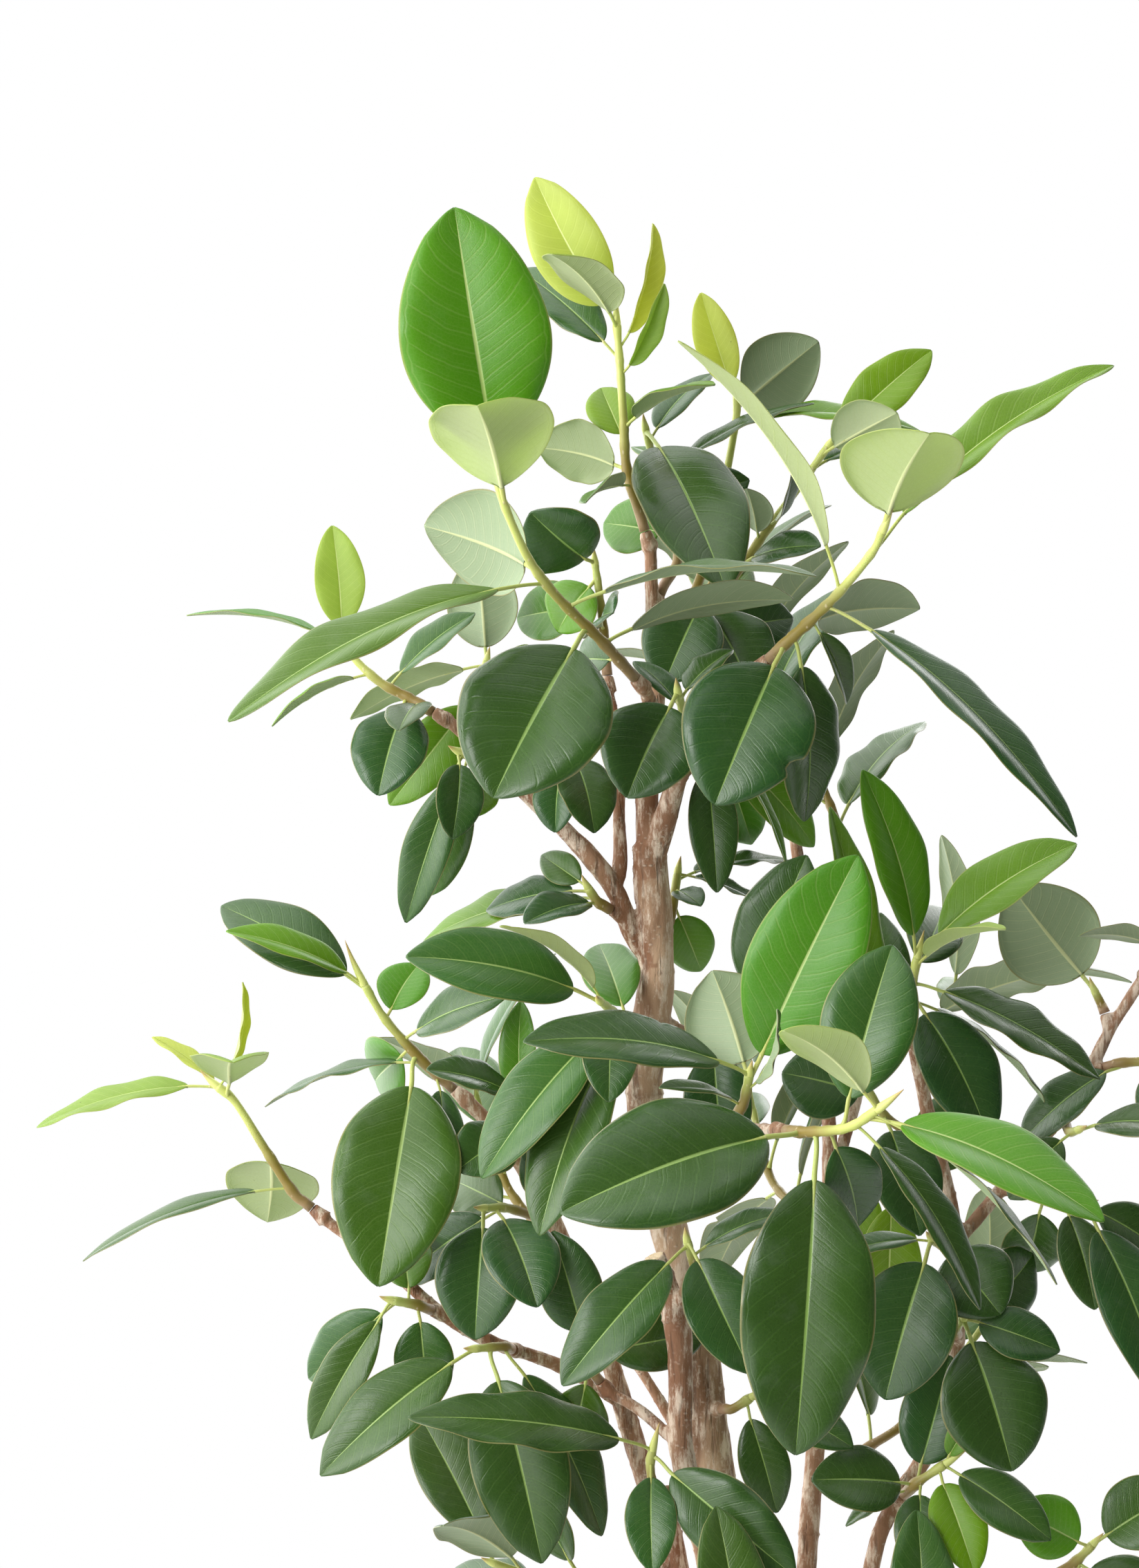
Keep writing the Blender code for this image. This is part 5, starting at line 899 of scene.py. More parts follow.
def blade_finish(leaf):
    """Blades: dark and leathery when old, pale and thin when young, with a net of veins."""
    f = Finish("blade")
    youth, seed, under, rim = (f.value(name) for name in ("youth", "seed", "under", "rim"))
    place, sheet = f.place(), f.sheet()
    signed, run = f.part(sheet, 0) * 2 - 1, f.part(sheet, 1)
    bow = abs(signed)
    # side veins: one line for every turn of the order, looped together near the margin
    slant = bow * VEIN_SLANT[0] + bow * bow * VEIN_SLANT[1]
    wobble = f.noise(place, 60, 2) * 0.05 - 0.025
    order = (run - slant + wobble) * leaf.veins + f.math("GREATER_THAN", signed, 0) * VEIN_STAGGER
    from_vein = abs(f.math("FRACT", order + 20) - 0.5)
    from_fine_vein = abs(f.math("FRACT", order * 2 + 40) - 0.5)
    side_vein = f.fade(from_vein, 0.015, 0.085) * f.fade(bow, 0.80, 0.94)
    fine_vein = f.fade(from_fine_vein, 0.02, 0.10, 0.4) * f.fade(bow, 0.55, 0.85)
    loops = f.fade(abs(bow - (from_vein * 0.05 + 0.90)), 0.004, 0.02, 0.8)
    veins = f.math("MAXIMUM", f.math("MAXIMUM", side_vein, loops), fine_vein)
    midrib = f.fade(bow / (run * -0.030 + 0.046), 0.55, 1.15)
    net = f.fade(f.cells(place, 620, "DISTANCE_TO_EDGE"), 0, 0.16)
    # upper side by age
    patchy = f.noise(place, 34)
    cloudy = f.noise(place, 11, 2) * 0.7 + patchy * 0.5
    tone = f.mix(f.step(youth, 0.05, 0.5), leaf.mature, leaf.bright)
    tone = f.mix(f.step(youth, 0.45, 0.95), tone, leaf.young)
    tone = f.tint(tone, seed * 0.045 + 0.475, seed * -0.12 + 1.08, cloudy * 0.7 + 0.56)
    tone = f.mix((1 - bow) * 0.07, tone, (0.20, 0.36, 0.04))
    vein_tone = f.mix(youth, (0.12, 0.24, 0.045), (0.72, 0.80, 0.30))
    top = f.mix(veins * (youth * 0.20 + 0.09), tone, vein_tone)
    top = f.mix(net * 0.06, top, vein_tone)
    top = f.mix(midrib * 0.75, top, f.mix(youth, (0.24, 0.38, 0.09), (0.76, 0.82, 0.36)))
    # lower side by age
    grey = f.mix(f.step(youth, 0.15, 0.85), leaf.underside, (0.72, 0.78, 0.46))
    grey = f.mix(patchy * 0.25, grey, (0.30, 0.36, 0.20))
    low = f.mix(veins * 0.5, grey, f.mix(youth, (0.33, 0.38, 0.22), (0.72, 0.78, 0.38)))
    low = f.mix(net * 0.14, low, f.mix(0.5, grey, (0.16, 0.26, 0.09)))
    low = f.mix(midrib * 0.9, low, f.mix(youth, (0.42, 0.45, 0.22), (0.78, 0.82, 0.42)))
    colour = f.mix(under, top, low)
    # margin, brown specks and dust
    margin = f.step(rim, 0.965, 0.995) * (youth * -0.5 + 0.75)
    colour = f.mix(margin, colour, f.mix(youth, (0.22, 0.20, 0.07), (0.72, 0.66, 0.22)))
    speck = f.fade(f.cells(place, 150), 0.03, 0.075) * f.step(f.noise(place, 25, 1), 0.60, 0.68)
    colour = f.mix(speck * 0.55, colour, (0.10, 0.085, 0.03))
    dust = f.step(f.noise(place, 70, 4, 0.7), 0.5, 0.8) * (under * -0.03 + 0.05)
    colour = f.mix(dust, colour, (0.42, 0.46, 0.42))
    # gloss, relief and the light that comes through
    rough = f.noise(place, 55, 4, 0.65) * 0.18 + under * 0.22 + youth * 0.20 + 0.18
    relief = f.math("MAXIMUM", veins, midrib) * (under * 2.2 - 1) + net * (under * 0.40 - 0.20)
    normal = f.bump(f.noise(place, 380), 0.12, 0.0002, f.bump(relief, 0.35, 0.00014))
    glow = f.tint(f.mix(under, colour, tone), 0.485, 1.05, 1.05)
    share = f.step(youth, 0.05, 0.8, 0.12, 0.55) * (midrib * -0.6 + 1)
    surface = f.node("MixShader", {0: share, 1: Value(f, f.shader.outputs[0]),
                                   2: f.node("BsdfTranslucent", {"Color": glow})})
    f.wire(surface, f.tree.nodes["Material Output"].inputs["Surface"])
    return f.finished(colour, rough, normal, Specular_IOR_Level=0.5)


def twig_finish():
    """Green twigs and petioles: pale when young, browning towards the foot, with small pores."""
    f = Finish("green_twig")
    place, youth, age, seed = f.place(), f.value("youth"), f.value("age"), f.value("seed")
    green = f.mix(youth, (0.20, 0.28, 0.055), (0.52, 0.60, 0.15))
    green = f.mix(f.noise(place, 90) * 0.5, green, (0.40, 0.40, 0.12))
    brown = f.mix(f.noise(place, 260, 4), (0.16, 0.085, 0.04), (0.40, 0.27, 0.17))
    turn = f.noise(place, 50) * 0.35 + age - youth * 0.30
    olive = f.mix(f.step(turn, 0.10, 0.62), green, (0.19, 0.145, 0.018))
    colour = f.mix(f.step(turn, 0.62, 1.05), olive, brown)
    pore = f.fade(f.cells(f.stretch(place, 0.45), 330), 0.10, 0.20)
    colour = f.mix(pore * 0.45, colour, (0.60, 0.50, 0.33))
    colour = f.mix(seed * 0.12, colour, (0.45, 0.20, 0.08))
    normal = f.bump(pore + f.noise(place, 420), 0.4, 0.0002)
    return f.finished(colour, f.noise(place, 120) * 0.2 + 0.36, normal,
                      Subsurface_Weight=0.12, Subsurface_Radius=(0.4, 0.6, 0.1), Subsurface_Scale=0.001)


def bud_finish():
    """The pointed sheath over a shoot's next leaf: pale green turning rusty at its tip."""
    f = Finish("bud_sheath")
    place = f.place()
    pale = f.mix(f.value("youth"), (0.36, 0.42, 0.10), (0.62, 0.68, 0.20))
    colour = f.mix(f.step(f.part(f.sheet(), 1), 0.35, 1) * 0.75, pale, (0.36, 0.15, 0.06))
    colour = f.mix(f.noise(place, 300) * 0.3, colour, (0.50, 0.42, 0.16))
    return f.finished(colour, f.noise(place, 200) * 0.2 + 0.35,
                      f.bump(f.noise(f.stretch(place, 0.3), 700), 0.3, 0.0002))


def bark_finish(wood, name, warmth):
    """Bark: pinkish grey skin with brown patches, pale pores and fine cracks; the cut end is pale wood."""
    f = Finish(name)
    place, long = f.place(), f.stretch(f.place(), 0.28)
    broad = f.noise(long, 45, 4) * 0.75 + f.noise(place, 13, 2) * 0.35
    colour = f.mix(f.step(broad, 0.47, 0.68), wood.bark, wood.bark_dark)
    colour = f.mix(f.math("MAXIMUM", warmth, f.value("slim") * 0.75), colour, (0.21, 0.09, 0.045))
    scaly = f.step(f.noise(long, 190, 6, 0.75), 0.46, 0.62, 0, 0.75)
    colour = f.mix(scaly, colour, wood.bark_pale)
    streak = f.step(f.noise(f.stretch(place, 0.10), 260), 0.56, 0.70)
    colour = f.mix(streak * 0.6, colour, (0.10, 0.055, 0.035))
    pore = f.fade(f.cells(f.stretch(place, 1.7), 240), 0.10, 0.30) * f.step(f.noise(place, 80), 0.38, 0.60)
    colour = f.mix(pore * 0.35, colour, wood.bark_pale)
    colour = f.mix(f.value("scar") * 0.30, colour, (0.16, 0.085, 0.045))
    fresh = f.mix(f.noise(place, 500), (0.55, 0.40, 0.24), (0.74, 0.62, 0.43))
    colour = f.mix(f.value("cut"), colour, fresh)
    height = f.noise(long, 220, 5, 0.7) * 0.9 + pore * 0.35 - streak * 0.5
    height = height - f.cells(f.stretch(place, 0.6), 190) * 0.25
    return f.finished(colour, f.noise(place, 90) * 0.2 + 0.62, f.bump(height, 0.9, 0.0010),
                      Specular_IOR_Level=0.3)


def clay_finish(pot):
    """Matte stoneware: plain grey with faint flecks, cloudy tone and splashes near its foot."""
    f = Finish("stoneware")
    place = f.place()
    colour = f.mix(f.noise(place, 9, 4) * 0.30, pot.clay, (0.27, 0.24, 0.205))
    fleck = f.fade(f.cells(place, 230), 0.08, 0.17) * f.step(f.noise(place, 60), 0.45, 0.6)
    colour = f.mix(fleck * 0.6, colour, (0.12, 0.085, 0.06))
    splash = f.fade(f.noise(place, 14, 5, 0.7) * 0.05 + f.part(place, 2), 0.03, 0.075, 0.22)
    colour = f.mix(splash, colour, (0.20, 0.165, 0.125))
    turned_marks = f.bump(f.noise(f.stretch(place, 14, 0.6), 22), 0.25, 0.0006)
    return f.finished(colour, f.noise(place, 40, 4) * 0.18 + 0.60,
                      f.bump(f.noise(place, 1100), 0.25, 0.0003, turned_marks))


def soil_finish(pot):
    """Moist potting mix: dark crumbs with fibres."""
    f = Finish("potting_mix")
    place = f.place()
    grain = f.noise(place, 380, 6, 0.7)
    moist = f.mix(f.noise(place, 40), pot.soil, (0.085, 0.05, 0.028))
    return f.finished(f.mix(grain, (0.014, 0.009, 0.006), moist), grain * 0.35 + 0.62,
                      f.bump(grain + f.cells(place, 420), 0.9, 0.0012))


def crumb_finish():
    """Bark chips, peat crumbs and a few pale grains, told apart by each crumb's own value."""
    f = Finish("crumbs")
    place, seed = f.place(), f.value("seed")
    peat = f.mix(f.noise(place, 300), (0.022, 0.012, 0.007), (0.075, 0.042, 0.022))
    chip = f.mix(f.noise(f.stretch(place, 4), 160, 4), (0.16, 0.075, 0.035), (0.30, 0.17, 0.09))
    colour = f.mix(f.step(seed, 0.55, 0.60), peat, chip)
    colour = f.mix(f.step(seed, 0.93, 0.935), colour, (0.66, 0.62, 0.55))
    normal = f.bump(f.noise(place, 700, 5, 0.7), 0.6, 0.0006)
    return f.finished(colour, f.noise(place, 200) * 0.2 + 0.7, normal)


def floor_finish(stage):
    """A pale, plain floor."""
    f = Finish("pale_floor")
    place = f.place()
    colour = f.mix(f.noise(place, 3, 4) * 0.06, stage.floor, (0.7, 0.69, 0.67))
    return f.finished(colour, f.noise(place, 25) * 0.1 + 0.55)


# ---------------------------------------------------------------- pieces
def placed(name, data):
    """A new object in the scene."""
    made = bpy.data.objects.new(name, data)
    bpy.context.scene.collection.objects.link(made)
    return made


def seat_piece(mesh, node):
    """A finished mesh as the piece that stands for one of the frame's nodes."""
    piece, slot = placed("fig_" + node, mesh), record_slot(node)
    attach(piece, "root")
    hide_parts(node)
    return piece


def record_slot(node):
    for part in frame["record"]["subparts"]:
        if part["node"] == node:
            return part["material_slot"]
    raise RuntimeError(f"the record has no slot for {node}")


def read_mesh(source):
    """A copy of an object's mesh with its modifiers applied."""
    reader = bpy.context.evaluated_depsgraph_get()
    return bpy.data.meshes.new_from_object(source.evaluated_get(reader))


def smoothed(mesh):
    mesh.polygons.foreach_set("use_smooth", np.ones(len(mesh.polygons), bool))


def nearest(places):
    """A search tree over points."""
    tree = KDTree(len(places))
    for index, place in enumerate(places):
        tree.insert(place, index)
    tree.balance()
    return tree


LIMB_SIDES = 20
LIMB_STEP = 0.004
SOFTENING = 5
THICK_LIMB = 0.0095
THIN_LIMB = 0.0050
SCAR_SPACING = 0.019
SCAR_WIDTH = 0.0012
FLARE_HEIGHT = 0.012
WARMTH = {"main_stem": 0.10, "front_stem": 0.30, "left_stem": 0.55, "right_stem": 0.35, "back_stem": 0.4}


def fused(stem, tubes, voxel):
    """Limbs and collars fused into one skin."""
    shape = Shape()
    for path, radii in tubes:
        shape.add(*tube(path, radii, LIMB_SIDES)[:2], 0)
    rough = placed("rough_" + stem, shape.mesh("rough", []))
    skin = rough.modifiers.new("fuse", "REMESH")
    skin.mode, skin.voxel_size = "VOXEL", voxel
    rough.modifiers.new("soften", "SMOOTH").iterations = SOFTENING
    mesh = read_mesh(rough)
    bpy.data.objects.remove(rough, do_unlink=True)
    return mesh


def weather(mesh, rings, cut_end, relief, seed):
    """Ridges, knots and leaf scars raised out of the skin, with the values that the bark's finish reads."""
    tree = nearest([ring[0] for ring in rings])
    points = np.zeros(len(mesh.vertices) * 3)
    mesh.vertices.foreach_get("co", points)
    points = points.reshape(-1, 3)
    moved = points.copy()
    values = {label: np.zeros(len(points)) for label in ("scar", "cut", "slim")}
    drift = Vector((seed * 3.1, seed * 1.7, 0))
    for index, point in enumerate(points):
        spot = Vector(point)
        place, direction, radius, run = rings[tree.find(spot)[1]]
        out = spot - place - direction * (spot - place).dot(direction)
        if out.length < radius * 0.4:
            out = spot - place
        out = out.normalized()
        ridge = noise.noise(Vector((spot.x * 90, spot.y * 90, spot.z * 22)) + drift)
        knot = noise.noise(spot * 45 + drift * 2)
        grain = noise.noise(Vector((spot.x * 240, spot.y * 240, spot.z * 110)) + drift)
        turn = run + (spot - place).dot(direction)
        turn += 0.0045 * noise.noise(Vector((run * 30, seed, 0.5))) + 0.0012 * ridge
        chance = noise.noise(Vector((round(turn / SCAR_SPACING) * 3.7, seed * 5.1, 0.2)))
        scar = min(1.0, 1.6 * max(0.0, chance + 0.18))
        scar *= math.exp(-((turn % SCAR_SPACING - SCAR_SPACING / 2) / SCAR_WIDTH) ** 2)
        height = 0.9 * ridge + 1.1 * max(knot, 0) + 0.75 * scar + 0.4 * grain
        moved[index] += np.array(out) * relief * min(1.0, radius / THIN_LIMB) * height
        values["slim"][index] = min(1.0, max(0.0, (THICK_LIMB - radius) / (THICK_LIMB - THIN_LIMB)))
        values["scar"][index] = scar
        if cut_end:
            end, ahead, end_radius = cut_end
            beyond = (spot - end).dot(ahead) > -0.0006
            values["cut"][index] = float(beyond and (spot - end).length < end_radius * 0.86)
    mesh.vertices.foreach_set("co", moved.ravel())
    for label, numbers in values.items():
        mesh.attributes.new(label, "FLOAT", "POINT").data.foreach_set("value", numbers)
    smoothed(mesh)
    mesh.update()


def seats():
    """Every shoot's stem and seat."""
    axes = {stem: stem_axis(stem) for stem in STEMS}
    return {name: (stem, shoot_seat(axes[stem], planted(rows[0]), planted(rows[1])))
            for name, (stem, rows, _) in (*SHOOTS.items(), *RULE_SHOOTS.items())}


def limb(points, first, last):
    """A limb's path, its radii flared at the soil, and its rings (place, direction, radius, run)."""
    path = smooth_path([planted(p) for p in points], LIMB_STEP)
    run, radii, rings = 0.0, [], []
    for index, place in enumerate(path):
        radius = (first + (last - first) * index / (len(path) - 1)) * CM
        ahead = (path[min(index + 1, len(path) - 1)] - path[max(index - 1, 0)]).normalized()
        run += (place - path[max(index - 1, 0)]).length
        radii.append(radius * (1 + 0.22 * math.exp(-max(place.z - SOIL_TOP, 0) / FLARE_HEIGHT)))
        rings.append((place, ahead, radius, run))
    return path, radii, rings


def collar(centre, outward, reach):
    """The woody spur that a shoot stands on, with a swollen ring near its end."""
    t = np.linspace(0, 1, 9)
    path = np.array(centre) + np.array(outward) * reach * t[:, None]
    return path, TWIG_RADIUS * (1.12 + 0.45 * (1 - t) + 0.12 * np.exp(-((t - 0.93) / 0.05) ** 2))


class FIG_OT_stems(bpy.types.Operator):
    """Builds the woody stems, fused with their limbs and the collars of their shoots"""
    bl_idname = "fig.stems"
    bl_label = "Stems"
    bl_options = {"REGISTER", "UNDO"}

    def execute(self, context):
        wood = context.scene.fig_wood
        seated = seats()
        for number, (stem, limbs) in enumerate(STEMS.items()):
            grown = [limb(*parts) for parts in limbs]
            tubes = [(path, radii) for path, radii, _ in grown]
            tubes += [collar(*seat) for owner, seat in seated.values() if owner == stem]
            mesh = fused(stem, tubes, wood.voxel)
            cut_end = None
            if stem == "front_stem":
                path, radii, _ = grown[0]
                cut_end = (path[-1], (path[-1] - path[-2]).normalized(), radii[-1])
            rings = [ring for *_, own in grown for ring in own]
            weather(mesh, rings, cut_end, wood.relief, number + 1.0)
            mesh.materials.append(bark_finish(wood, "bark_" + stem, WARMTH[stem]))
            seat_piece(mesh, stem)
        return {"FINISHED"}


def grow_shoot(name, number, path, leaves, finishes, settings):
    """One shoot: twig, petioles, blades and bud in one piece."""
    tree = nearest([vertex.co for vertex in frame["nodes"][name].data.vertices])
    chance = np.random.RandomState(SHOOT_SEED + number)
    shape = Shape()
    youngest = max(leaf[5] for leaf in leaves)
    twig(shape, path, [min(leaf[0], LAST_LEAF_SHARE) for leaf in leaves], 0.25 + 0.75 * youngest,
         chance.uniform(), LONG_BUDS.get(name, BUD_LENGTH))
    for index, (t, tip, width, facing, fold, youth) in enumerate(leaves):
        root, direction = along(path, min(t, LAST_LEAF_SHARE))
        tip, width = settled(tree, root, tip, width)
        leaf = Leaf(root, tip, width, facing, fold, youth, chance)
        petiole(shape, leaf, direction)
        rows = max(LEAST_ROWS, round(settings.detail * min(1.0, leaf.length / FULL_DETAIL_LENGTH)))
        blade(shape, leaf, BITES.get((name, index)), rows, settings.thickness, settings.veins)
    seat_piece(shape.mesh(name, finishes), name)


def grow_shoots(context, chosen):
    """Grows the chosen shoots; a shoot's number counts through both tables, so that its chances stay."""
    settings = context.scene.fig_leaf
    finishes = [bpy.data.materials.get("blade") or blade_finish(settings),
                bpy.data.materials.get("green_twig") or twig_finish(),
                bpy.data.materials.get("bud_sheath") or bud_finish()]
    seated = seats()
    for number, name in enumerate(seated):
        if name not in chosen:
            continue
        _, rows, leaves = chosen[name]
        path = twig_path(seated[name][1], rows)
        if chosen is SHOOTS:
            leaves = [(t, planted(tip), width * CM, *rest) for t, tip, width, *rest in leaves]
        else:
            leaves = rule_leaves(path, leaves)
        grow_shoot(name, number, path, leaves, finishes, settings)


class FIG_OT_shoots(bpy.types.Operator):
    """Grows the shoots whose every leaf has its own place"""
    bl_idname = "fig.shoots"
    bl_label = "Placed shoots"
    bl_options = {"REGISTER", "UNDO"}

    def execute(self, context):
        grow_shoots(context, SHOOTS)
        return {"FINISHED"}


class FIG_OT_rule_shoots(bpy.types.Operator):
    """Grows the shoots at the back and the foot, whose leaves follow one rule"""
    bl_idname = "fig.rule_shoots"
    bl_label = "Filling shoots"
    bl_options = {"REGISTER", "UNDO"}

    def execute(self, context):
        grow_shoots(context, RULE_SHOOTS)
        return {"FINISHED"}


POT_WALL = 0.0065
POT_FLOOR = 0.009
POT_BASE_RADIUS = 0.088
POT_BAND_PROUD = 0.003
POT_BAND_HEIGHT = 0.026
DRAIN_RADIUS = 0.006
DRAIN_CIRCLE_RADIUS = 0.04
DRAIN_HOLES = 4
FOOT_WIDTH = 0.010
FOOT_HEIGHT = 0.0012
# A turned profile begins and ends at this distance from the axis.
POT_CORE = 0.002
POT_STEP = 0.006
ROUNDING_POINTS = 7
EDGE_ANGLE = math.radians(40)


def wall_radius(height):
    top = POT_RADIUS - POT_BAND_PROUD
    return POT_BASE_RADIUS + (top - POT_BASE_RADIUS) * height / POT_HEIGHT


def rounded(profile, step):
    """The profile with every corner rounded off by its own radius (third number)."""
    out = []
    for k, (r, z, radius) in enumerate(profile):
        here = np.array((r, z))
        if radius == 0:
            out.append(here)
            continue
        before = np.array(profile[k - 1][:2]) - here
        after = np.array(profile[k + 1][:2]) - here
        start = here + unit(before) * min(radius, np.linalg.norm(before) * 0.45)
        end = here + unit(after) * min(radius, np.linalg.norm(after) * 0.45)
        for t in np.linspace(0, 1, step):
            out.append(start * (1 - t) ** 2 + here * 2 * t * (1 - t) + end * t ** 2)
    return np.array(out)


def turned(profile, sides):
    """Points and quads of a solid turned from a profile that runs from axis to axis."""
    turn = 2 * math.pi * np.arange(sides) / sides
    rings = np.stack([np.outer(profile[:, 0], np.cos(turn)), np.outer(profile[:, 0], np.sin(turn)),
                      np.repeat(profile[:, 1:], sides, 1)], -1)
    quads = grid_quads(len(profile), sides, True)[:, ::-1].tolist()
    quads += cap_quads(0, sides) + [quad[::-1] for quad in cap_quads((len(profile) - 1) * sides, sides)]
    return rings.reshape(-1, 3), quads


class FIG_OT_pot(bpy.types.Operator):
    """Turns the plain pot with its rim band, foot and drain holes"""
    bl_idname = "fig.pot"
    bl_label = "Pot"
    bl_options = {"REGISTER", "UNDO"}

    def execute(self, context):
        settings = context.scene.fig_pot
        rim, band = POT_RADIUS, POT_HEIGHT - POT_BAND_HEIGHT
        inner_top = wall_radius(POT_HEIGHT) - POT_WALL
        inner_foot = wall_radius(POT_FLOOR) - POT_WALL
        foot = wall_radius(0) - FOOT_WIDTH
        profile = rounded([
            (POT_CORE, POT_FLOOR, 0), (inner_foot, POT_FLOOR, 0.009), (inner_top, POT_HEIGHT, 0.003),
            (rim, POT_HEIGHT, 0.0035), (rim - 0.0008, band + 0.002, 0.003),
            (wall_radius(band), band, 0.0015), (wall_radius(0), 0, 0.004),
            (foot, 0, 0.001), (foot - 0.002, FOOT_HEIGHT, FOOT_HEIGHT),
            (POT_CORE, FOOT_HEIGHT, 0)], ROUNDING_POINTS)
        long_runs = []
        for a, b in zip(profile, profile[1:]):
            pieces = max(1, int(np.linalg.norm(b - a) / POT_STEP))
            long_runs += [a + (b - a) * k / pieces for k in range(pieces)]
        profile = np.array(long_runs + [profile[-1]])
        shape = Shape()
        shape.add(*turned(profile, settings.sides), 0)
        body = placed("turned_pot", shape.mesh("pot", [clay_finish(settings)]))
        drills = []
        for number in range(DRAIN_HOLES):
            angle = 2 * math.pi / DRAIN_HOLES * (number + 0.5)
            drill = Shape()
            centre = np.array((math.cos(angle), math.sin(angle), 0)) * DRAIN_CIRCLE_RADIUS
            axis = centre + np.array([(0, 0, z) for z in np.linspace(-0.01, 0.03, 5)])
            drill.add(*tube(axis, [DRAIN_RADIUS] * len(axis), 48)[:2], 0)
            drills.append(placed("drill", drill.mesh("drill", [])))
            cut = body.modifiers.new("hole", "BOOLEAN")
            cut.operation, cut.solver, cut.object = "DIFFERENCE", "EXACT", drills[-1]
        mesh = read_mesh(body)
        for helper in [body, *drills]:
            bpy.data.objects.remove(helper, do_unlink=True)
        smoothed(mesh)
        mesh.set_sharp_from_angle(angle=EDGE_ANGLE)
        seat_piece(mesh, "pot")
        return {"FINISHED"}


# The points of a cube whose faces are cut in four.
CRUMB_POINTS = [point for point in product((-1, 0, 1), repeat=3) if any(point)]


def crumb_quads():
    """The quads of that cube, in the order of its points."""
    quads = []
    for axis, end, a, b in product(range(3), (-1, 1), (-1, 0), (-1, 0)):
        ring = []
        for corner in ([a, b], [a + 1, b], [a + 1, b + 1], [a, b + 1]):
            corner.insert(axis, end)
            ring.append(CRUMB_POINTS.index(tuple(corner)))
        quads.append(ring[::-1] if (end == 1) == (axis == 1) else ring)
    return quads


CRUMB_QUADS = crumb_quads()
# Lumps of the soil's surface: height, and how many times finer than the broadest.
SOIL_LUMPS = ((0.0016, 1), (0.0011, 3.1), (0.0006, 8))
SOIL_SIDES = 288
SOIL_RINGS = 84
SOIL_CORE = 0.0015


def crumb(shape, place, size, chance):
    """One crumb: a cube rounded and dented into a lump."""
    lumps = unit(np.array(CRUMB_POINTS, float)) * (1 + 0.25 * chance.uniform(-1, 1, (len(CRUMB_POINTS), 1)))
    turn = Matrix.Rotation(chance.uniform(0, 6.28), 3, Vector(chance.normal(size=3)).normalized())
    shape.add((lumps * size) @ np.array(turn).T + place, CRUMB_QUADS, 1, seed=chance.uniform())


class FIG_OT_soil(bpy.types.Operator):
    """Fills the pot with crumbly potting mix, heaped a little round the stems"""
    bl_idname = "fig.soil"
    bl_label = "Soil"
    bl_options = {"REGISTER", "UNDO"}

    def execute(self, context):
        settings = context.scene.fig_pot
        chance = np.random.RandomState(SOIL_SEED)
        feet = [planted(limbs[0][0][1]).lerp(planted(limbs[0][0][0]), 0.45) for limbs in STEMS.values()]
        top_radius = wall_radius(SOIL_TOP) - POT_WALL - GAP * 2

        def surface(x, y):
            spot = Vector((x * 42, y * 42, 0.3))
            height = SOIL_TOP - 0.0028 - 0.0022 * (math.hypot(x, y) / top_radius) ** 6
            for rise, scale in SOIL_LUMPS:
                height += rise * noise.noise(spot * scale)
            heap = sum(math.exp(-((x - foot.x) ** 2 + (y - foot.y) ** 2) / 0.00035) for foot in feet)
            return height + min(0.0028 * heap, 0.0035)

        rings, bottom = np.linspace(SOIL_CORE, top_radius, SOIL_RINGS), POT_FLOOR + 0.001
        wall = [(wall_radius(z) - POT_WALL - GAP * 2, z) for z in np.linspace(SOIL_TOP - 0.012, 0.02, 9)]
        profile = np.array([(r, 0.0) for r in rings] + wall + [(0.07, bottom), (SOIL_CORE, bottom)])
        points, quads = turned(profile, SOIL_SIDES)
        for index in range(SOIL_RINGS * SOIL_SIDES):
            points[index, 2] = surface(points[index, 0], points[index, 1])
        shape = Shape()
        shape.add(points, quads, 0)
        for _ in range(settings.crumbs):
            angle, radius = chance.uniform(0, 2 * math.pi), top_radius * 0.965 * math.sqrt(chance.uniform())
            x, y = radius * math.cos(angle), radius * math.sin(angle)
            long = 0.0008 + 0.0030 * chance.uniform() ** 3
            size = np.array((long, long * chance.uniform(0.5, 0.9), long * chance.uniform(0.3, 0.7)))
            crumb(shape, np.array((x, y, surface(x, y) + size[2] * 0.3)), size, chance)
        seat_piece(shape.mesh("soil", [soil_finish(settings), crumb_finish()]), "soil")
        return {"FINISHED"}


# ---------------------------------------------------------------- stage
CAMERA_PLACE = (-0.083, -1.30, 0.840)
CAMERA_LENS = 68.8
CAMERA_SENSOR = 36.0
FLOOR_PROFILE = np.array([(0.01, -0.0005), (0.8, -0.0005), (1.6, -0.0005), (1.6, -0.01), (0.01, -0.01)])
FLOOR_SIDES = 96
WHITE = (1.0, 1.0, 1.0)
# Soft walls of light: the direction's part that they read, where they begin and are full, and their power.
SOFT_WALLS = ((2, 0.55, 1.0, 1.6), (1, -0.1, 0.7, 1.2), (0, -0.05, -0.7, 2.7))
# Round lamps: the setting that holds the power, size, place, target and colour.
LAMPS = (("key", 1.3, (-1.9, -0.7, 1.35), (0, 0, 0.7), (1.0, 0.985, 0.96)),
         ("side", 0.5, (-0.62, -0.84, 1.10), (-0.15, -0.10, 0.60), WHITE),
         ("back", 1.8, (0.9, 1.9, 1.9), (0, 0, 0.75), WHITE))


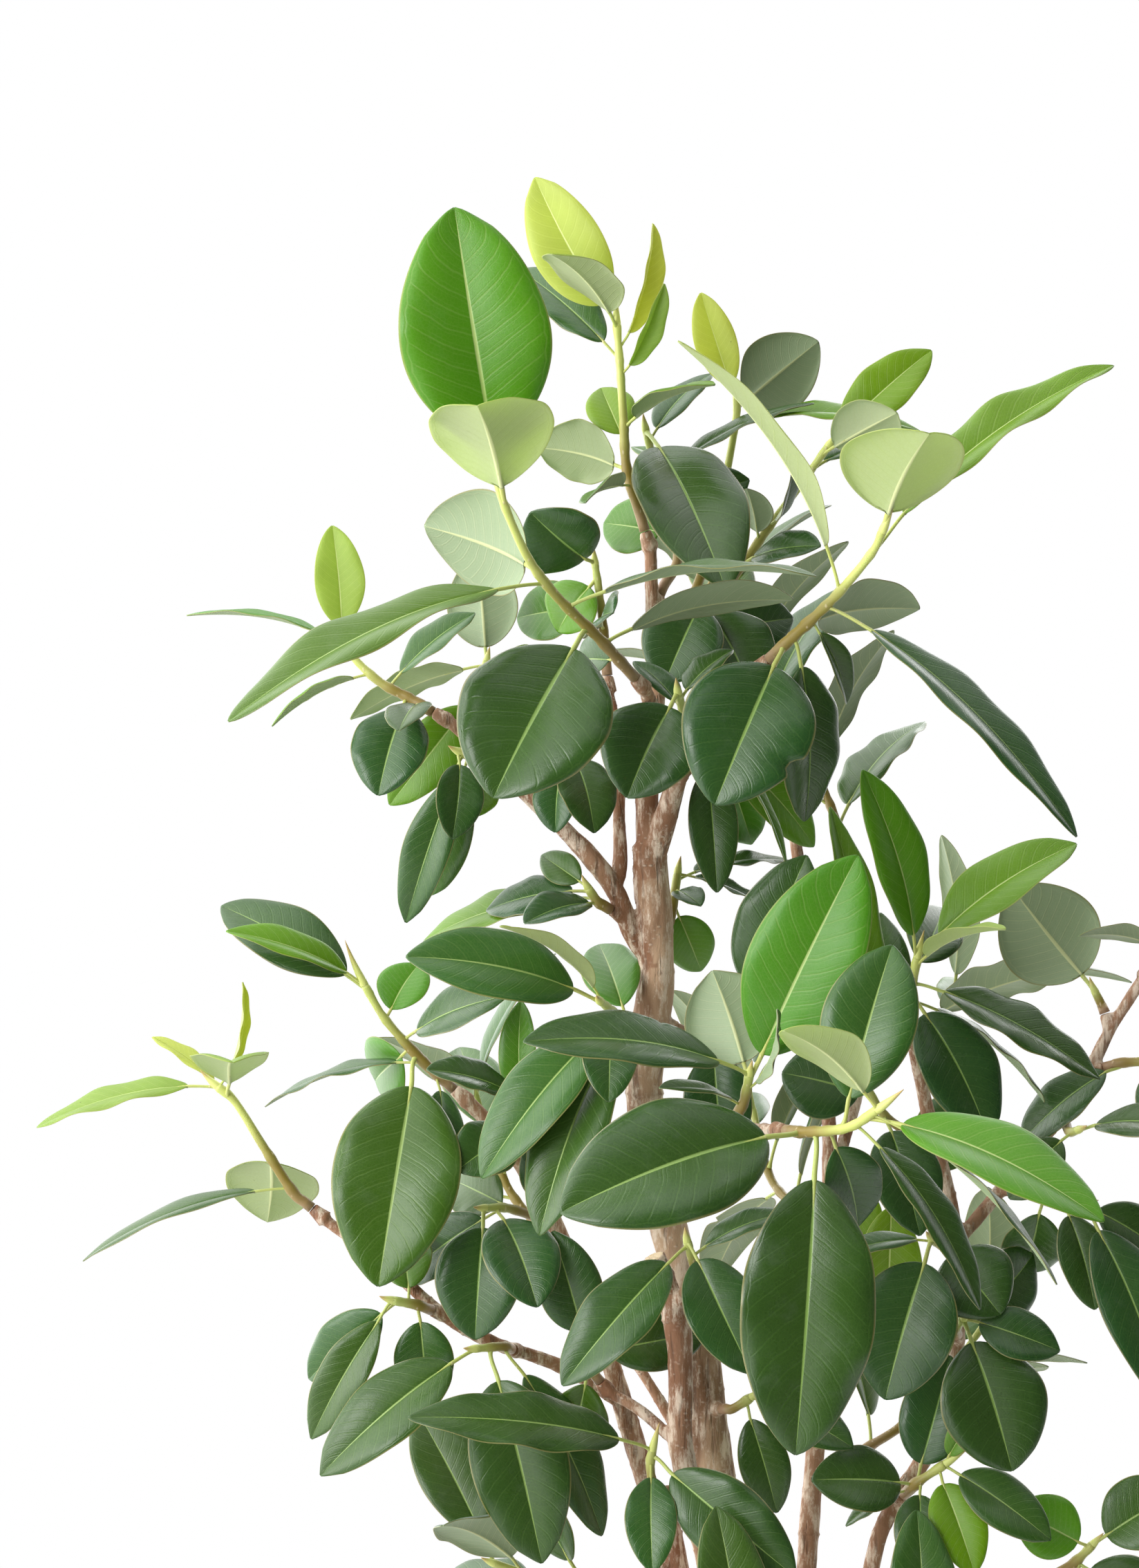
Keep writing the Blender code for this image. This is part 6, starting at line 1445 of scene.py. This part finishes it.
def white_surround(stage):
    """A world that the camera sees as plain white, and that lights the plant from soft walls."""
    world = bpy.data.worlds.new("white_surround")
    world.use_nodes = True
    nodes = Nodes(world.node_tree)
    seen = world.node_tree.nodes["Background"]
    nodes.wire(WHITE, seen.inputs["Color"])
    nodes.wire(stage.sky, seen.inputs["Strength"])
    heading, total = nodes.node("TexCoord", output="Generated"), stage.front
    for axis, low, high, power_there in SOFT_WALLS:
        total = nodes.step(nodes.part(heading, axis), low, high, 0, power_there) + total
    lamps = nodes.node("Background", {"Color": WHITE, "Strength": total})
    mixed = nodes.node("MixShader", {0: nodes.node("LightPath", output="Is Camera Ray"), 1: lamps,
                                     2: Value(nodes, seen.outputs[0])})
    nodes.wire(mixed, world.node_tree.nodes["World Output"].inputs["Surface"])
    return world


class FIG_OT_stage(bpy.types.Operator):
    """Lays the pale floor and sets the white surround, the soft lights and the camera"""
    bl_idname = "fig.stage"
    bl_label = "Stage"
    bl_options = {"REGISTER", "UNDO"}

    def execute(self, context):
        scene, stage = context.scene, context.scene.fig_stage
        disc = Shape()
        disc.add(*turned(FLOOR_PROFILE, FLOOR_SIDES), 0)
        floor = placed("floor", disc.mesh("floor", [floor_finish(stage)]))
        scene.world = white_surround(stage)
        for name, size, place, target, colour in LAMPS:
            lamp = bpy.data.lights.new(name, "AREA")
            lamp.shape, lamp.size, lamp.energy, lamp.color = "DISK", size, getattr(stage, name), colour
            holder = placed(name, lamp)
            holder.location = place
            holder.rotation_euler = (Vector(target) - Vector(place)).to_track_quat("-Z", "Y").to_euler()
        scene.view_settings.view_transform = "Standard"
        lens = bpy.data.cameras.new("front")
        lens.lens, lens.sensor_width, lens.sensor_fit = CAMERA_LENS, CAMERA_SENSOR, "AUTO"
        eye = placed("front", lens)
        eye.location, eye.rotation_euler = CAMERA_PLACE, (math.pi / 2, 0, 0)
        scene.camera = eye
        return {"FINISHED"}


# ---------------------------------------------------------------- the add-on
GROUPS = {"fig_leaf": FigLeafSettings, "fig_wood": FigWoodSettings, "fig_pot": FigPotSettings,
          "fig_stage": FigStageSettings}
STEPS = (FIG_OT_pot, FIG_OT_soil, FIG_OT_stems, FIG_OT_shoots, FIG_OT_rule_shoots, FIG_OT_stage)


class FIG_PT_sidebar(bpy.types.Panel):
    """Lists the plant's pieces and their settings"""
    bl_idname = "FIG_PT_sidebar"
    bl_label = "Potted Rusty Fig"
    bl_space_type = "VIEW_3D"
    bl_region_type = "UI"
    bl_category = "Rusty Fig"

    def draw(self, context):
        for step in STEPS:
            self.layout.operator(step.bl_idname)
        for label, group in GROUPS.items():
            box = self.layout.box()
            for name in group.__annotations__:
                box.prop(getattr(context.scene, label), name)


def register():
    for kind in (*GROUPS.values(), *STEPS, FIG_PT_sidebar):
        bpy.utils.register_class(kind)
    for label, group in GROUPS.items():
        setattr(bpy.types.Scene, label, PointerProperty(type=group))


def unregister():
    for label in GROUPS:
        delattr(bpy.types.Scene, label)
    for kind in (FIG_PT_sidebar, *reversed(STEPS), *reversed(list(GROUPS.values()))):
        bpy.utils.unregister_class(kind)


def main():
    register()
    bpy.ops.fig.pot()
    bpy.ops.fig.soil()
    bpy.ops.fig.stems()
    bpy.ops.fig.shoots()
    bpy.ops.fig.rule_shoots()
    bpy.ops.fig.stage()


if __name__ == "__main__":
    main()
